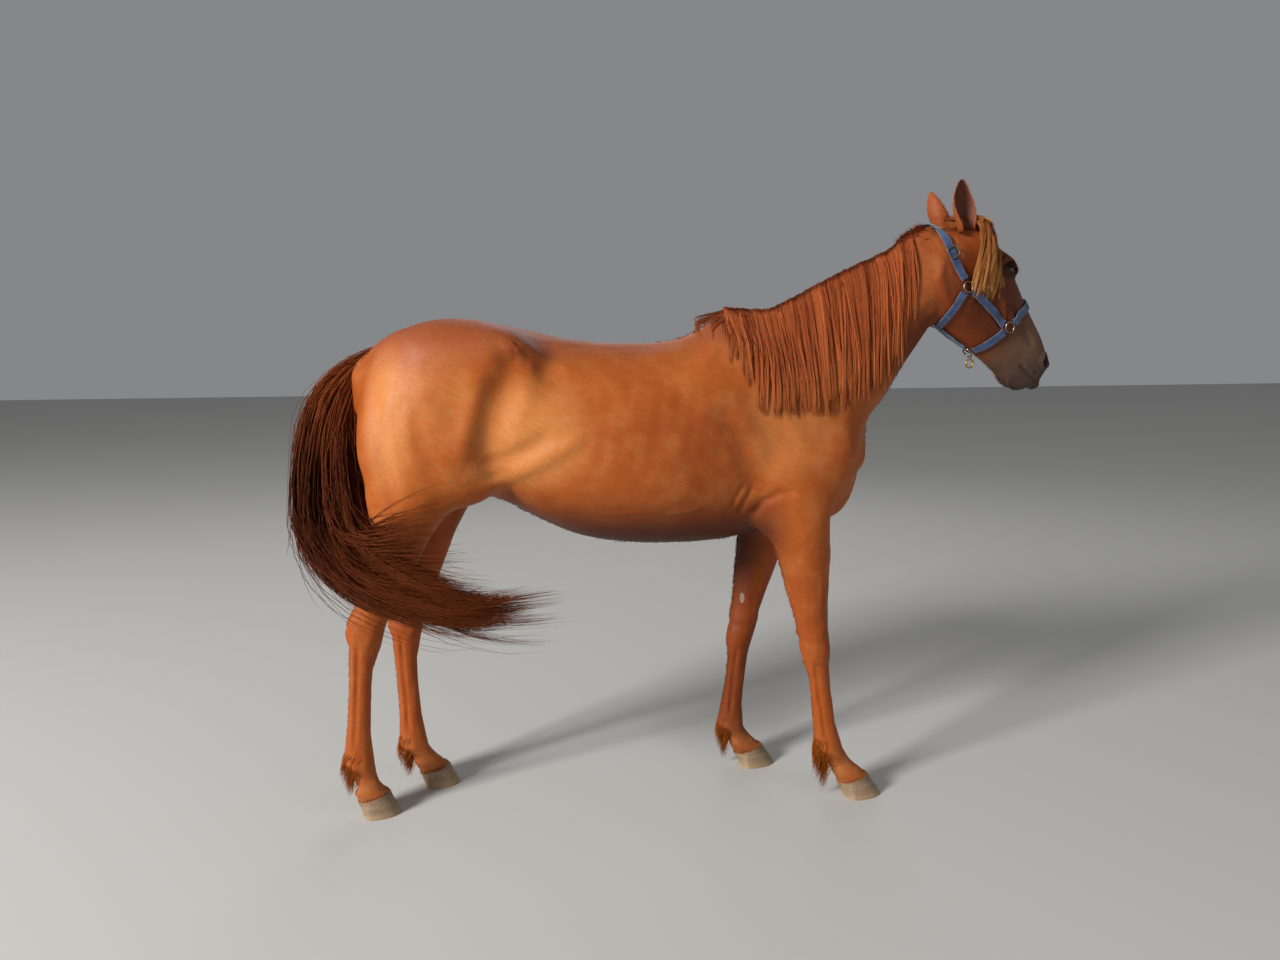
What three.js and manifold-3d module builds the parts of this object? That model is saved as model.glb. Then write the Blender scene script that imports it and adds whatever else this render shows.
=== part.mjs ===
// A life-size standing horse in a head collar, as closed faceted solids.
// Millimetres. +X is where the horse faces, +Y is its left and +Z is up, and all four soles
// stand on Z = 0. The flesh is one blended form: each part of it is a loft through named
// sections, lofts and muscles melt into each other, and the result is meshed, thinned to few
// triangles and parted with thin cuts. Hooves, ears and eyes are closed meshes of their own,
// and hair and straps are shells that lie a hair's breadth off the flesh.
import * as THREE from "three";
import { mergeVertices } from "three/addons/utils/BufferGeometryUtils.js";
import Module from "manifold-3d";

const wasm = await Module();
wasm.setup();

// ---------------------------------------------------------------- driving dimensions

const GAP = 0.6; // between two solids that touch
const FAR = 4000; // larger than the horse
const OUT_OF_REACH = 300; // forms further off than this don't matter
const LOFT_STEP = 3; // between the stored sections of a loft
const FLATNESS = 1e-3; // below this the planes round an edge have no clear meeting point
const MOST_TURN = 0.25; // least cosine by which thinning may turn a triangle
const EDGE_MARGIN = 0.04; // a grid edge is crossed no nearer to its ends than this share
const HALVINGS = 24; // rounds of halving in the search for a surface
const TINY = 1e-6;
const HANDS = [-1, 1]; // right and left
const HEAD_TURN = THREE.MathUtils.degToRad(10); // the head looks a little to its left
const HEAD_PIVOT = new THREE.Vector3(1060, 0, 0);
const POLL = { forward: 30, height: 1850 }; // origin of the head's own frame, from the pivot
const NECK_ORIGIN = new THREE.Vector3(500, 0, 1380);
const NECK_SLOPE = THREE.MathUtils.degToRad(36.87); // the neck rises 3 for every 4 forward
const HEAD_SLOPE = THREE.MathUtils.degToRad(53.13); // the head falls 4 for every 3 forward

// Joints of each leg, each [x, y, z], from the top down.
const LEGS = {
  fore_right: {
    fore: true,
    elbow: [602, -150, 905],
    knee: [670, -148, 500],
    fetlock: [724, -146, 160],
    coronet: [800, -146, 60],
  },
  fore_left: {
    fore: true,
    elbow: [566, 150, 905],
    knee: [483, 146, 476],
    fetlock: [448, 138, 142],
    coronet: [506, 134, 58],
  },
  hind_right: {
    fore: false,
    hip: [-520, -138, 1400],
    stifle: [-470, -155, 1080],
    hock: [-765, -120, 604],
    fetlock: [-803, -103, 172],
    coronet: [-768, -96, 62],
  },
  hind_left: {
    fore: false,
    hip: [-520, 138, 1400],
    stifle: [-432, 155, 1068],
    hock: [-674, 120, 560],
    fetlock: [-656, 108, 136],
    coronet: [-596, 106, 58],
  },
};

// How far forms melt into what they meet.
const BLEND = { trunk: 60, leg: 60, neck: 80, head: 50 };

// Leg sections: which bone, how far down it, then the flesh behind and in front of the bone
// line and to each side of it.
const FORE_SECTIONS = [
  ["elbow", "knee", -0.5, 60, 90, 40],
  ["elbow", "knee", -0.25, 88, 118, 66],
  ["elbow", "knee", 0.0, 90, 112, 74],
  ["elbow", "knee", 0.1, 84, 110, 70],
  ["elbow", "knee", 0.22, 78, 100, 64],
  ["elbow", "knee", 0.38, 71, 86, 56],
  ["elbow", "knee", 0.6, 59, 68, 47],
  ["elbow", "knee", 0.78, 51, 56, 43],
  ["elbow", "knee", 0.89, 51, 56, 46],
  ["elbow", "knee", 1.0, 52, 52, 48],
  ["knee", "fetlock", 0.13, 47, 42, 41],
  ["knee", "fetlock", 0.26, 36, 37, 31],
  ["knee", "fetlock", 0.5, 38, 35, 27],
  ["knee", "fetlock", 0.74, 44, 35, 29],
  ["knee", "fetlock", 0.89, 48, 43, 36],
  ["knee", "fetlock", 1.0, 50, 49, 39],
  ["fetlock", "coronet", 0.3, 44, 42, 35],
  ["fetlock", "coronet", 0.62, 38, 40, 33],
  ["fetlock", "coronet", 1.0, 46, 50, 43],
  ["fetlock", "coronet", 1.4, 48, 56, 45],
];
const HIND_SECTIONS = [
  ["hip", "stifle", 0.0, 130, 175, 105],
  ["hip", "stifle", 0.31, 215, 165, 112],
  ["hip", "stifle", 0.69, 268, 128, 110],
  ["hip", "stifle", 1.0, 270, 62, 98],
  ["stifle", "hock", 0.13, 232, 42, 88],
  ["stifle", "hock", 0.29, 172, 32, 74],
  ["stifle", "hock", 0.39, 132, 30, 66],
  ["stifle", "hock", 0.58, 90, 38, 53],
  ["stifle", "hock", 0.79, 80, 46, 42],
  ["stifle", "hock", 0.91, 80, 50, 41],
  ["stifle", "hock", 1.0, 62, 60, 44],
  ["hock", "fetlock", 0.1, 50, 54, 41],
  ["hock", "fetlock", 0.28, 46, 32, 30],
  ["hock", "fetlock", 0.5, 44, 30, 27],
  ["hock", "fetlock", 0.74, 46, 32, 29],
  ["hock", "fetlock", 0.89, 50, 40, 35],
  ["hock", "fetlock", 1.0, 53, 48, 39],
  ["fetlock", "coronet", 0.35, 42, 41, 34],
  ["fetlock", "coronet", 0.62, 38, 41, 32],
  ["fetlock", "coronet", 1.0, 44, 48, 42],
  ["fetlock", "coronet", 1.4, 46, 54, 44],
];

// Trunk sections: x, underline, topline, half width, and how much the width leans to the top.
const TRUNK_SECTIONS = [
  [-735, 1260, 1478, 70, 0],
  [-700, 1180, 1512, 118, 0.05],
  [-620, 1090, 1545, 178, 0.05],
  [-520, 1040, 1570, 218, 0.05],
  [-430, 1020, 1576, 240, 0.02],
  [-330, 1000, 1562, 248, -0.04],
  [-230, 945, 1542, 255, -0.1],
  [-100, 884, 1514, 268, -0.1],
  [40, 854, 1500, 276, -0.1],
  [170, 845, 1500, 274, -0.12],
  [270, 845, 1520, 260, -0.16],
  [370, 850, 1568, 232, -0.24],
  [460, 868, 1560, 205, -0.26],
  [560, 890, 1490, 186, -0.2],
  [650, 905, 1405, 172, -0.1],
  [730, 918, 1320, 140, 0],
  [785, 968, 1266, 104, 0],
  [818, 1050, 1225, 62, 0],
];

// Neck sections along its slope from NECK_ORIGIN: distance, underline, crest, half width, lean.
const NECK_SECTIONS = [
  [-80, -300, 190, 120, -0.3],
  [30, -335, 222, 136, -0.36],
  [100, -342, 186, 134, -0.38],
  [170, -338, 148, 126, -0.38],
  [300, -313, 124, 106, -0.36],
  [430, -262, 108, 88, -0.34],
  [540, -224, 84, 76, -0.3],
  [640, -205, 45, 70, -0.2],
  [740, -150, 12, 60, 0],
];

// Head sections along its own slope from the poll: distance, jaw line, face line, half width.
const HEAD_SECTIONS = [
  [0, -142, -4, 50, 0],
  [60, -165, 84, 68, 0.06],
  [130, -168, 138, 76, 0.1],
  [190, -168, 156, 82, 0.14],
  [250, -160, 158, 82, 0.12],
  [310, -144, 156, 72, 0.04],
  [370, -118, 150, 62, -0.04],
  [440, -94, 143, 54, -0.06],
  [510, -76, 139, 49, 0],
  [560, -62, 129, 51, 0],
  [600, -47, 108, 51, 0],
  [628, -26, 76, 45, 0],
  [648, 2, 48, 30, 0],
];

// Muscles and bony points, one row for both sides: centre, half sizes along its own length,
// across the body and the third way, slope of its length in degrees, and blend radius.
const MASSES = [
  { name: "shoulder blade", at: [560, 120, 1330], size: [230, 48, 90], slope: -47, blend: 80 },
  { name: "shoulder point", at: [728, 112, 1165], size: [66, 60, 82], slope: -60, blend: 80 },
  { name: "upper arm", at: [640, 142, 1065], size: [135, 48, 95], slope: 25, blend: 80 },
  { name: "triceps", at: [550, 146, 1065], size: [125, 46, 95], slope: 62, blend: 70 },
  { name: "elbow", at: [524, 150, 935], size: [48, 32, 32], slope: 70, blend: 50 },
  { name: "breast", at: [745, 66, 1075], size: [125, 66, 60], slope: 78, blend: 60 },
  { name: "hip point", at: [-300, 190, 1455], size: [70, 42, 60], slope: -20, blend: 110 },
  { name: "rump", at: [-440, 118, 1462], size: [215, 118, 102], slope: -6, blend: 80 },
  { name: "buttock", at: [-664, 104, 1290], size: [210, 86, 90], slope: 82, blend: 80 },
  { name: "thigh front", at: [-440, 162, 1180], size: [170, 70, 92], slope: 62, blend: 80 },
  { name: "stifle", at: [-418, 160, 1062], size: [62, 52, 50], slope: 30, blend: 70 },
];

// The same for the head, in its own frame: along, up towards the face, and to the side.
const HEAD_MASSES = [
  { name: "cheek", at: [205, -66, 50], size: [100, 88, 30], blend: 30 },
  { name: "brow", at: [230, 130, 62], size: [48, 24, 30], blend: 36 },
  { name: "temple", at: [110, 92, 40], size: [60, 46, 30], blend: 40 },
  { name: "cheek bone", at: [325, 52, 54], size: [95, 12, 14], blend: 36 },
  { name: "nostril rim", at: [596, 74, 34], size: [32, 28, 19], blend: 22 },
  { name: "chin", at: [562, -50, 10], size: [30, 16, 22], blend: 26 },
  { name: "lower lip", at: [606, -24, 8], size: [26, 16, 26], blend: 20 },
];

const HEAD_SQUARENESS = 2.5;
const EYE = { at: [243, 113, 74], radius: 22, sides: 12, rings: 8 };

// The hoof, from the middle of the coronet: how far it reaches forward, back and to the side
// at its top, and at the floor. The toe is higher than the heel.
const HOOF = { toeRise: 14, toeTop: 52, heelTop: 46, halfTop: 44, heel: 28, rings: 2, sides: 14 };
const FORE = {
  cut: 836, // height where the leg leaves the trunk
  toe: 102,
  half: 62,
  parts: ["forearm", "cannon", "pastern"],
  cell: 8,
  triangles: 370,
};
const HIND = {
  cut: 985,
  toe: 88,
  half: 56,
  parts: ["gaskin", "cannon", "pastern"],
  cell: 9,
  triangles: 430,
};
const HIND_CUT_FRONT = -385; // the cut of the hind legs ends behind the belly
const LEG_BOX = { out: 300, inner: 4, floor: 20, margin: 40, above: 30, reach: 60 };
const CANNON_CUT = 62; // how far under the knee or hock the cannon is parted
const PASTERN_CUT = { drop: 22, lean: -0.35 }; // the cut under the fetlock, lower behind

// Boxes that are meshed in one go: corners, size of the grid cells, and triangles to keep.
const TORSO = { low: [-830, -330, 800], high: [1180, 330, 1920], cell: 16, triangles: 1560 };
const HEAD = { low: [1030, -190, 1290], high: [1640, 290, 1920], cell: 8, triangles: 950 };

// Ears, in the head's frame: root, tips, and the way the cup opens: forward and outward.
// Up the ear, its half widths and half the arc of its cup in degrees.
const EAR = {
  rightRoot: [34, 67, 58],
  leftRoot: [30, 62, 58],
  rightTip: [-95, 132, 78],
  leftTip: [-87, 116, 86],
  rightOpens: [0.1, 1],
  leftOpens: [1, 0.14],
  rightBroad: 1.1,
  widths: [26, 33, 38, 38, 33, 23, 8],
  spreads: [115, 100, 84, 72, 66, 62, 60],
  thickness: 5,
  setBack: 0.4,
  arc: [-1, -0.6, -0.2, 0.2, 0.6, 1],
};

// The tail from its root, each [x, y, z, half depth in the plane of its bend, half width].
const TAIL_SECTIONS = [
  [-690, 0, 1476, 34, 34],
  [-770, -4, 1438, 46, 42],
  [-838, -12, 1340, 82, 58],
  [-868, -30, 1190, 94, 74],
  [-866, -62, 1050, 104, 82],
  [-838, -116, 945, 106, 82],
  [-778, -188, 858, 94, 56],
  [-700, -228, 803, 84, 38],
  [-592, -250, 753, 70, 32],
  [-452, -268, 708, 64, 24],
  [-335, -284, 710, 42, 16],
  [-212, -300, 736, 8, 6],
];
const TAIL_SIDES = 10;
const TAIL_RINGS = 16;
const TAIL_PARTINGS = [0.36, 0.62]; // shares of its rings where it is parted in lengths

// The mane hangs on the right of the neck from the crest: lower edge as [x, z].
const MANE_EDGE = [
  [390, 1560],
  [425, 1400],
  [484, 1272],
  [565, 1262],
  [662, 1270],
  [773, 1282],
  [883, 1330],
  [956, 1440],
  [1012, 1640],
];
const MANE = {
  depth: 17, // how far its hair stands out from the neck
  front: 1002, // where the bridle path starts
  farSide: 14, // how far it reaches over to the left of the crest
  low: [370, -240, 1240],
  high: [1030, 40, 1900],
  cell: 14,
  triangles: 260,
};

// The forelock over the brow to the right, in the head's frame, with half width and depth.
const FORELOCK_SECTIONS = [
  [4, 88, 0, 22, 14],
  [34, 118, -12, 36, 18],
  [80, 142, -34, 44, 20],
  [130, 122, -66, 40, 18],
  [180, 72, -84, 30, 16],
  [225, 28, -90, 20, 13],
  [262, -8, -88, 6, 8],
];
const FORELOCK_RINGS = 7;
const FORELOCK_SIDES = 8;

// The tufts behind the fetlocks: how far back from the joint, how far down, half sizes.
const TUFT_SECTIONS = [
  [26, -34, 12, 14],
  [46, 0, 22, 22],
  [50, 40, 19, 18],
  [52, 78, 11, 11],
  [56, 104, 3, 4],
];
const TUFT_SIDES = 6;

// The head collar, in the head's frame. Its bands run through anchors [along, up, side] on
// one side of the head, the last of each path in the middle, and are mirrored to the other.
const WEB = { width: 26, thickness: 3, lift: 5.5, pollLift: 9 };
const RING = { radius: 17, wire: 3, lift: 8, wireSides: 4, sides: 10 };
const BAND_STEPS = { cheek: 8, chin: 6, crown: 18, throat: 14, nose: 12, jaw: 4 };
const CHEEK_RING = [190, -50, 84];
const SIDE_RING = [405, 18, 62];
const CROWN_PATH = [[66, -34, 84], [10, -6, 72], [-20, 34, 44], [-32, 48, 0]];
const THROAT_PATH = [[226, -120, 66], [262, -170, 0]];
const NOSE_PATH = [[400, 110, 52], [396, 150, 0]];
const CHIN_PATH = [[405, -62, 56], [402, -112, 0]];
const CHIN_RING = { radius: 18, lift: 13, slack: 6 };
const LOOSE_RING = { radius: 14, drop: 22 };
const BUCKLE = { radius: 17, wire: 2.6, lift: 15, sides: 4 };
const AXIS_RISE = -50; // the middle line of the head that bands are laid out from

// Colour, roughness and metalness.
const COLOURS = {
  coat: [0x9c5526, 0.55, 0],
  mane: [0x8a4524, 0.5, 0],
  tail: [0x5c2a1c, 0.5, 0],
  hoof: [0x6e6258, 0.6, 0],
  eye: [0x120a08, 0.08, 0],
  webbing: [0x2b4f8e, 0.8, 0],
  metal: [0xc9bfa4, 0.3, 1],
};

// ---------------------------------------------------------------- frames

const X = new THREE.Vector3(1, 0, 0);
const Y = new THREE.Vector3(0, 1, 0);
const Z = new THREE.Vector3(0, 0, 1);

const headForward = X.clone().applyAxisAngle(Z, HEAD_TURN);
const headLeft = Y.clone().applyAxisAngle(Z, HEAD_TURN);
const headFrame = {
  origin: HEAD_PIVOT.clone().addScaledVector(headForward, POLL.forward).setZ(POLL.height),
  along: headForward
    .clone()
    .multiplyScalar(Math.cos(HEAD_SLOPE))
    .addScaledVector(Z, -Math.sin(HEAD_SLOPE)),
  up: headForward
    .clone()
    .multiplyScalar(Math.sin(HEAD_SLOPE))
    .addScaledVector(Z, Math.cos(HEAD_SLOPE)),
  side: headLeft,
};
const neckFrame = {
  origin: NECK_ORIGIN,
  along: new THREE.Vector3(Math.cos(NECK_SLOPE), 0, Math.sin(NECK_SLOPE)),
  up: new THREE.Vector3(-Math.sin(NECK_SLOPE), 0, Math.cos(NECK_SLOPE)),
  side: Y,
};
const trunkFrame = { origin: new THREE.Vector3(), along: X, up: Z, side: Y };
const legFrame = { origin: new THREE.Vector3(), along: Z, up: X, side: Y };

// A point of a frame: so far along it, up from it and to its left.
function inFrame(frame, along, up, side) {
  return frame.origin
    .clone()
    .addScaledVector(frame.along, along)
    .addScaledVector(frame.up, up)
    .addScaledVector(frame.side, side);
}

const sideName = (hand) => (hand < 0 ? "right" : "left");

// Where the neck leaves the trunk and the head leaves the neck.
const NECK_BASE = {
  point: new THREE.Vector3(635, 0, 1405),
  normal: new THREE.Vector3(0.685, 0, 0.729),
};
const HEAD_BASE = {
  point: new THREE.Vector3(1066, 0, 1700),
  normal: new THREE.Vector3(0.99, 0.08, 0.11),
};

// ---------------------------------------------------------------- blended flesh

// Joins two distances to surfaces so that they melt together over a radius.
function melt(a, b, radius) {
  const h = Math.max(radius - Math.abs(a - b), 0) / radius;
  return Math.min(a, b) - (h * h * radius) / 4;
}

// A smooth curve through rows of [position, value, ...], read at one position.
function curveThrough(rows, column) {
  const last = rows.length - 1;
  const slope = (i) => {
    const [a, b] = [Math.max(i - 1, 0), Math.min(i + 1, last)];
    return (rows[b][column] - rows[a][column]) / (rows[b][0] - rows[a][0]);
  };
  return (s) => {
    let i = 0;
    while (i < last - 1 && s > rows[i + 1][0]) i++;
    const span = rows[i + 1][0] - rows[i][0];
    const t = THREE.MathUtils.clamp((s - rows[i][0]) / span, 0, 1);
    const [t2, t3] = [t * t, t * t * t];
    return (
      rows[i][column] * (2 * t3 - 3 * t2 + 1) +
      rows[i + 1][column] * (3 * t2 - 2 * t3) +
      span * (slope(i) * (t3 - 2 * t2 + t) + slope(i + 1) * (t3 - t2))
    );
  };
}

// A form lofted through sections that stand across a frame's length. Each row is position,
// low edge, high edge, half width, lean of the width to the high edge, and sideways centre.
// Squareness 2 makes the sections oval, and more makes them boxy. The distance is less than
// 0 inside.
function loft(frame, rows, blend, squareness = 2) {
  const [first, last] = [rows[0][0], rows.at(-1)[0]];
  const count = Math.ceil((last - first) / LOFT_STEP) + 1;
  const columns = [1, 2, 3, 4, 5].map((column) => {
    const read = rows[0].length > column ? curveThrough(rows, column) : () => 0;
    return Float64Array.from({ length: count }, (_, i) => read(first + i * LOFT_STEP));
  });
  const [low, high, width, lean, side] = columns;
  const { origin: o, along: a, up: u, side: v } = frame;
  const distance = (x, y, z) => {
    const [dx, dy, dz] = [x - o.x, y - o.y, z - o.z];
    const s = dx * a.x + dy * a.y + dz * a.z;
    const over = s < first ? first - s : s > last ? s - last : 0;
    if (over > OUT_OF_REACH) return OUT_OF_REACH;
    const f = THREE.MathUtils.clamp((s - first) / LOFT_STEP, 0, count - 1.001);
    const i = Math.floor(f);
    const t = f - i;
    const lo = low[i] + (low[i + 1] - low[i]) * t;
    const hi = high[i] + (high[i + 1] - high[i]) * t;
    const w = width[i] + (width[i + 1] - width[i]) * t;
    const leaning = lean[i] + (lean[i + 1] - lean[i]) * t;
    const half = (hi - lo) / 2;
    const rise = dx * u.x + dy * u.y + dz * u.z - (hi + lo) / 2;
    const out = dx * v.x + dy * v.y + dz * v.z - side[i] - (side[i + 1] - side[i]) * t;
    const tall = Math.abs(rise / half);
    const spread = 1 + leaning * THREE.MathUtils.clamp(rise / half, -1, 1);
    const wide = Math.abs(out / (w * spread));
    const beyond = over / Math.min(half, w);
    const powers = tall ** squareness + wide ** squareness + beyond ** squareness;
    const ratio = powers ** (1 / squareness);
    const length = Math.sqrt(rise * rise + out * out + over * over);
    return ratio < TINY ? -Math.min(half, w) : length * (1 - 1 / ratio);
  };
  return { distance, blend };
}

// An ellipsoid about a centre, with three axes and the half size along each.
function ellipsoid(centre, axes, sizes, blend) {
  const [a, b, c] = axes;
  const far = Math.max(...sizes) + OUT_OF_REACH;
  const distance = (x, y, z) => {
    const [dx, dy, dz] = [x - centre.x, y - centre.y, z - centre.z];
    const length = Math.sqrt(dx * dx + dy * dy + dz * dz);
    if (length > far) return OUT_OF_REACH;
    const p = (dx * a.x + dy * a.y + dz * a.z) / sizes[0];
    const q = (dx * b.x + dy * b.y + dz * b.z) / sizes[1];
    const r = (dx * c.x + dy * c.y + dz * c.z) / sizes[2];
    const ratio = Math.sqrt(p * p + q * q + r * r);
    return ratio < TINY ? -Math.min(...sizes) : length * (1 - 1 / ratio);
  };
  return { distance, blend };
}

function legRows(leg) {
  const sections = leg.fore ? FORE_SECTIONS : HIND_SECTIONS;
  return sections
    .map(([top, bottom, share, behind, front, half]) => {
      const at = [0, 1, 2].map((k) => leg[top][k] + (leg[bottom][k] - leg[top][k]) * share);
      return [at[2], at[0] - behind, at[0] + front, half, 0, at[1]];
    })
    .sort((a, b) => a[0] - b[0]);
}

function muscles() {
  const made = [];
  for (const mass of MASSES)
    for (const hand of HANDS) {
      const turn = THREE.MathUtils.degToRad(mass.slope);
      const along = new THREE.Vector3(Math.cos(turn), 0, Math.sin(turn));
      const across = new THREE.Vector3(-Math.sin(turn), 0, Math.cos(turn));
      const centre = new THREE.Vector3(mass.at[0], mass.at[1] * hand, mass.at[2]);
      made.push(ellipsoid(centre, [along, Y, across], mass.size, mass.blend));
    }
  return made;
}

function headMuscles() {
  const { along, up, side } = headFrame;
  const made = [];
  for (const mass of HEAD_MASSES)
    for (const hand of HANDS) {
      const centre = inFrame(headFrame, mass.at[0], mass.at[1], mass.at[2] * hand);
      made.push(ellipsoid(centre, [along, up, side], mass.size, mass.blend));
    }
  return made;
}

// The distance from a point to the flesh that a list of forms makes together.
function fleshOf(forms) {
  return (x, y, z) => {
    let d = OUT_OF_REACH;
    for (const form of forms) d = melt(d, form.distance(x, y, z), form.blend);
    return d;
  };
}

const legForms = {};
for (const [name, leg] of Object.entries(LEGS))
  legForms[name] = loft(legFrame, legRows(leg), BLEND.leg);
const neckForm = loft(neckFrame, NECK_SECTIONS, BLEND.neck);
const headForm = loft(headFrame, HEAD_SECTIONS, BLEND.head, HEAD_SQUARENESS);
const trunkForms = [loft(trunkFrame, TRUNK_SECTIONS, BLEND.trunk), ...muscles()];
const torsoFlesh = fleshOf([...trunkForms, neckForm, ...Object.values(legForms), headForm]);
const headFlesh = fleshOf([neckForm, headForm, ...headMuscles()]);

// Which way a distance grows fastest at a point, and how fast.
function gradientOf(distance, { x, y, z }) {
  return new THREE.Vector3(
    distance(x + 1, y, z) - distance(x - 1, y, z),
    distance(x, y + 1, z) - distance(x, y - 1, z),
    distance(x, y, z + 1) - distance(x, y, z - 1),
  ).multiplyScalar(0.5);
}

// ---------------------------------------------------------------- meshing

// The six tetrahedra of a grid cell, as corners numbered by the bits x, y, z.
const TETRAHEDRA = [
  [0, 1, 3, 7],
  [0, 3, 2, 7],
  [0, 2, 6, 7],
  [0, 6, 4, 7],
  [0, 4, 5, 7],
  [0, 5, 1, 7],
];

// Meshes the surface where a distance is 0, in a box [low, high], with cells of one size.
function surfaceMesh(distance, low, high, cell) {
  const [nx, ny, nz] = low.map((l, k) => Math.ceil((high[k] - l) / cell) + 1);
  const value = new Float64Array(nx * ny * nz);
  const index = (i, j, k) => (k * ny + j) * nx + i;
  const onEdge = (i, j, k) => i * j * k === 0 || i === nx - 1 || j === ny - 1 || k === nz - 1;
  for (let k = 0; k < nz; k++)
    for (let j = 0; j < ny; j++)
      for (let i = 0; i < nx; i++) {
        const d = distance(low[0] + i * cell, low[1] + j * cell, low[2] + k * cell);
        value[index(i, j, k)] = onEdge(i, j, k) ? Math.max(d, 1) : d;
      }
  const vertices = [];
  const triangles = [];
  const made = new Map();
  const place = (n) => [
    low[0] + (n % nx) * cell,
    low[1] + (Math.floor(n / nx) % ny) * cell,
    low[2] + Math.floor(n / (nx * ny)) * cell,
  ];
  const crossing = (a, b) => {
    const key = a < b ? a * value.length + b : b * value.length + a;
    if (!made.has(key)) {
      const share = value[a] / (value[a] - value[b]);
      const t = THREE.MathUtils.clamp(share, EDGE_MARGIN, 1 - EDGE_MARGIN);
      const [pa, pb] = [place(a), place(b)];
      made.set(key, vertices.length);
      vertices.push(pa.map((x, n) => x + (pb[n] - x) * t));
    }
    return made.get(key);
  };
  const addFace = ([a, b, c], from, to) => {
    const normal = normalOf(vertices[a], vertices[b], vertices[c]);
    const out = place(to).map((x, k) => x - place(from)[k]);
    triangles.push(dot(normal, out) > 0 ? [a, b, c] : [a, c, b]);
  };
  for (let k = 0; k < nz - 1; k++)
    for (let j = 0; j < ny - 1; j++)
      for (let i = 0; i < nx - 1; i++) {
        const corner = [];
        for (let n = 0; n < 8; n++) corner.push(index(i + (n & 1), j + ((n >> 1) & 1), k + (n >> 2)));
        const count = corner.filter((n) => value[n] < 0).length;
        if (count === 0 || count === 8) continue;
        for (const tetra of TETRAHEDRA) {
          const ids = tetra.map((n) => corner[n]);
          const inner = ids.filter((n) => value[n] < 0);
          const outer = ids.filter((n) => value[n] >= 0);
          if (inner.length === 1) {
            const face = outer.map((n) => crossing(inner[0], n));
            addFace(face, inner[0], outer[0]);
          } else if (inner.length === 3) {
            const face = inner.map((n) => crossing(n, outer[0]));
            addFace(face, inner[0], outer[0]);
          } else if (inner.length === 2) {
            const [p, q] = inner;
            const [r, s] = outer;
            const ring = [crossing(p, r), crossing(p, s), crossing(q, s), crossing(q, r)];
            addFace([ring[0], ring[1], ring[2]], p, s);
            addFace([ring[0], ring[2], ring[3]], q, r);
          }
        }
      }
  return { vertices, triangles };
}

function dot(a, b) {
  return a[0] * b[0] + a[1] * b[1] + a[2] * b[2];
}

// The normal of a triangle, as long as twice its area.
function normalOf(a, b, c) {
  const [ux, uy, uz] = [b[0] - a[0], b[1] - a[1], b[2] - a[2]];
  const [vx, vy, vz] = [c[0] - a[0], c[1] - a[1], c[2] - a[2]];
  return [uy * vz - uz * vy, uz * vx - ux * vz, ux * vy - uy * vx];
}

// The squared distance from a place to the planes that a quadric sums up.
function quadricError(m, [x, y, z]) {
  const square = m[0] * x * x + m[4] * y * y + m[7] * z * z;
  const mixed = m[1] * x * y + m[2] * x * z + m[5] * y * z;
  return square + 2 * (mixed + m[3] * x + m[6] * y + m[8] * z) + m[9];
}

// Where the two ends of an edge do least harm when they become one.
function bestPlace(m, a, b) {
  const solve = new THREE.Matrix3().set(m[0], m[1], m[2], m[1], m[4], m[5], m[2], m[5], m[7]);
  const middle = a.map((x, k) => (x + b[k]) / 2);
  const size = Math.hypot(a[0] - b[0], a[1] - b[1], a[2] - b[2]);
  if (Math.abs(solve.determinant()) > FLATNESS * (m[0] + m[4] + m[7]) ** 3) {
    const at = new THREE.Vector3(-m[3], -m[6], -m[8]).applyMatrix3(solve.invert()).toArray();
    if (Math.hypot(...at.map((x, k) => x - middle[k])) < size) return at;
  }
  return [middle, a, b].sort((p, q) => quadricError(m, p) - quadricError(m, q))[0];
}

// A queue that gives back the entry of least cost.
class Queue {
  entries = [];

  push(entry) {
    const list = this.entries;
    let n = list.push(entry) - 1;
    while (n > 0) {
      const up = (n - 1) >> 1;
      if (list[up].cost <= list[n].cost) break;
      [list[up], list[n]] = [list[n], list[up]];
      n = up;
    }
  }

  pop() {
    const list = this.entries;
    const top = list[0];
    const last = list.pop();
    if (!list.length) return top;
    list[0] = last;
    let [n, least] = [-1, 0];
    while (least !== n) {
      n = least;
      for (const next of [2 * n + 1, 2 * n + 2])
        if (next < list.length && list[next].cost < list[least].cost) least = next;
      [list[n], list[least]] = [list[least], list[n]];
    }
    return top;
  }
}

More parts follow.
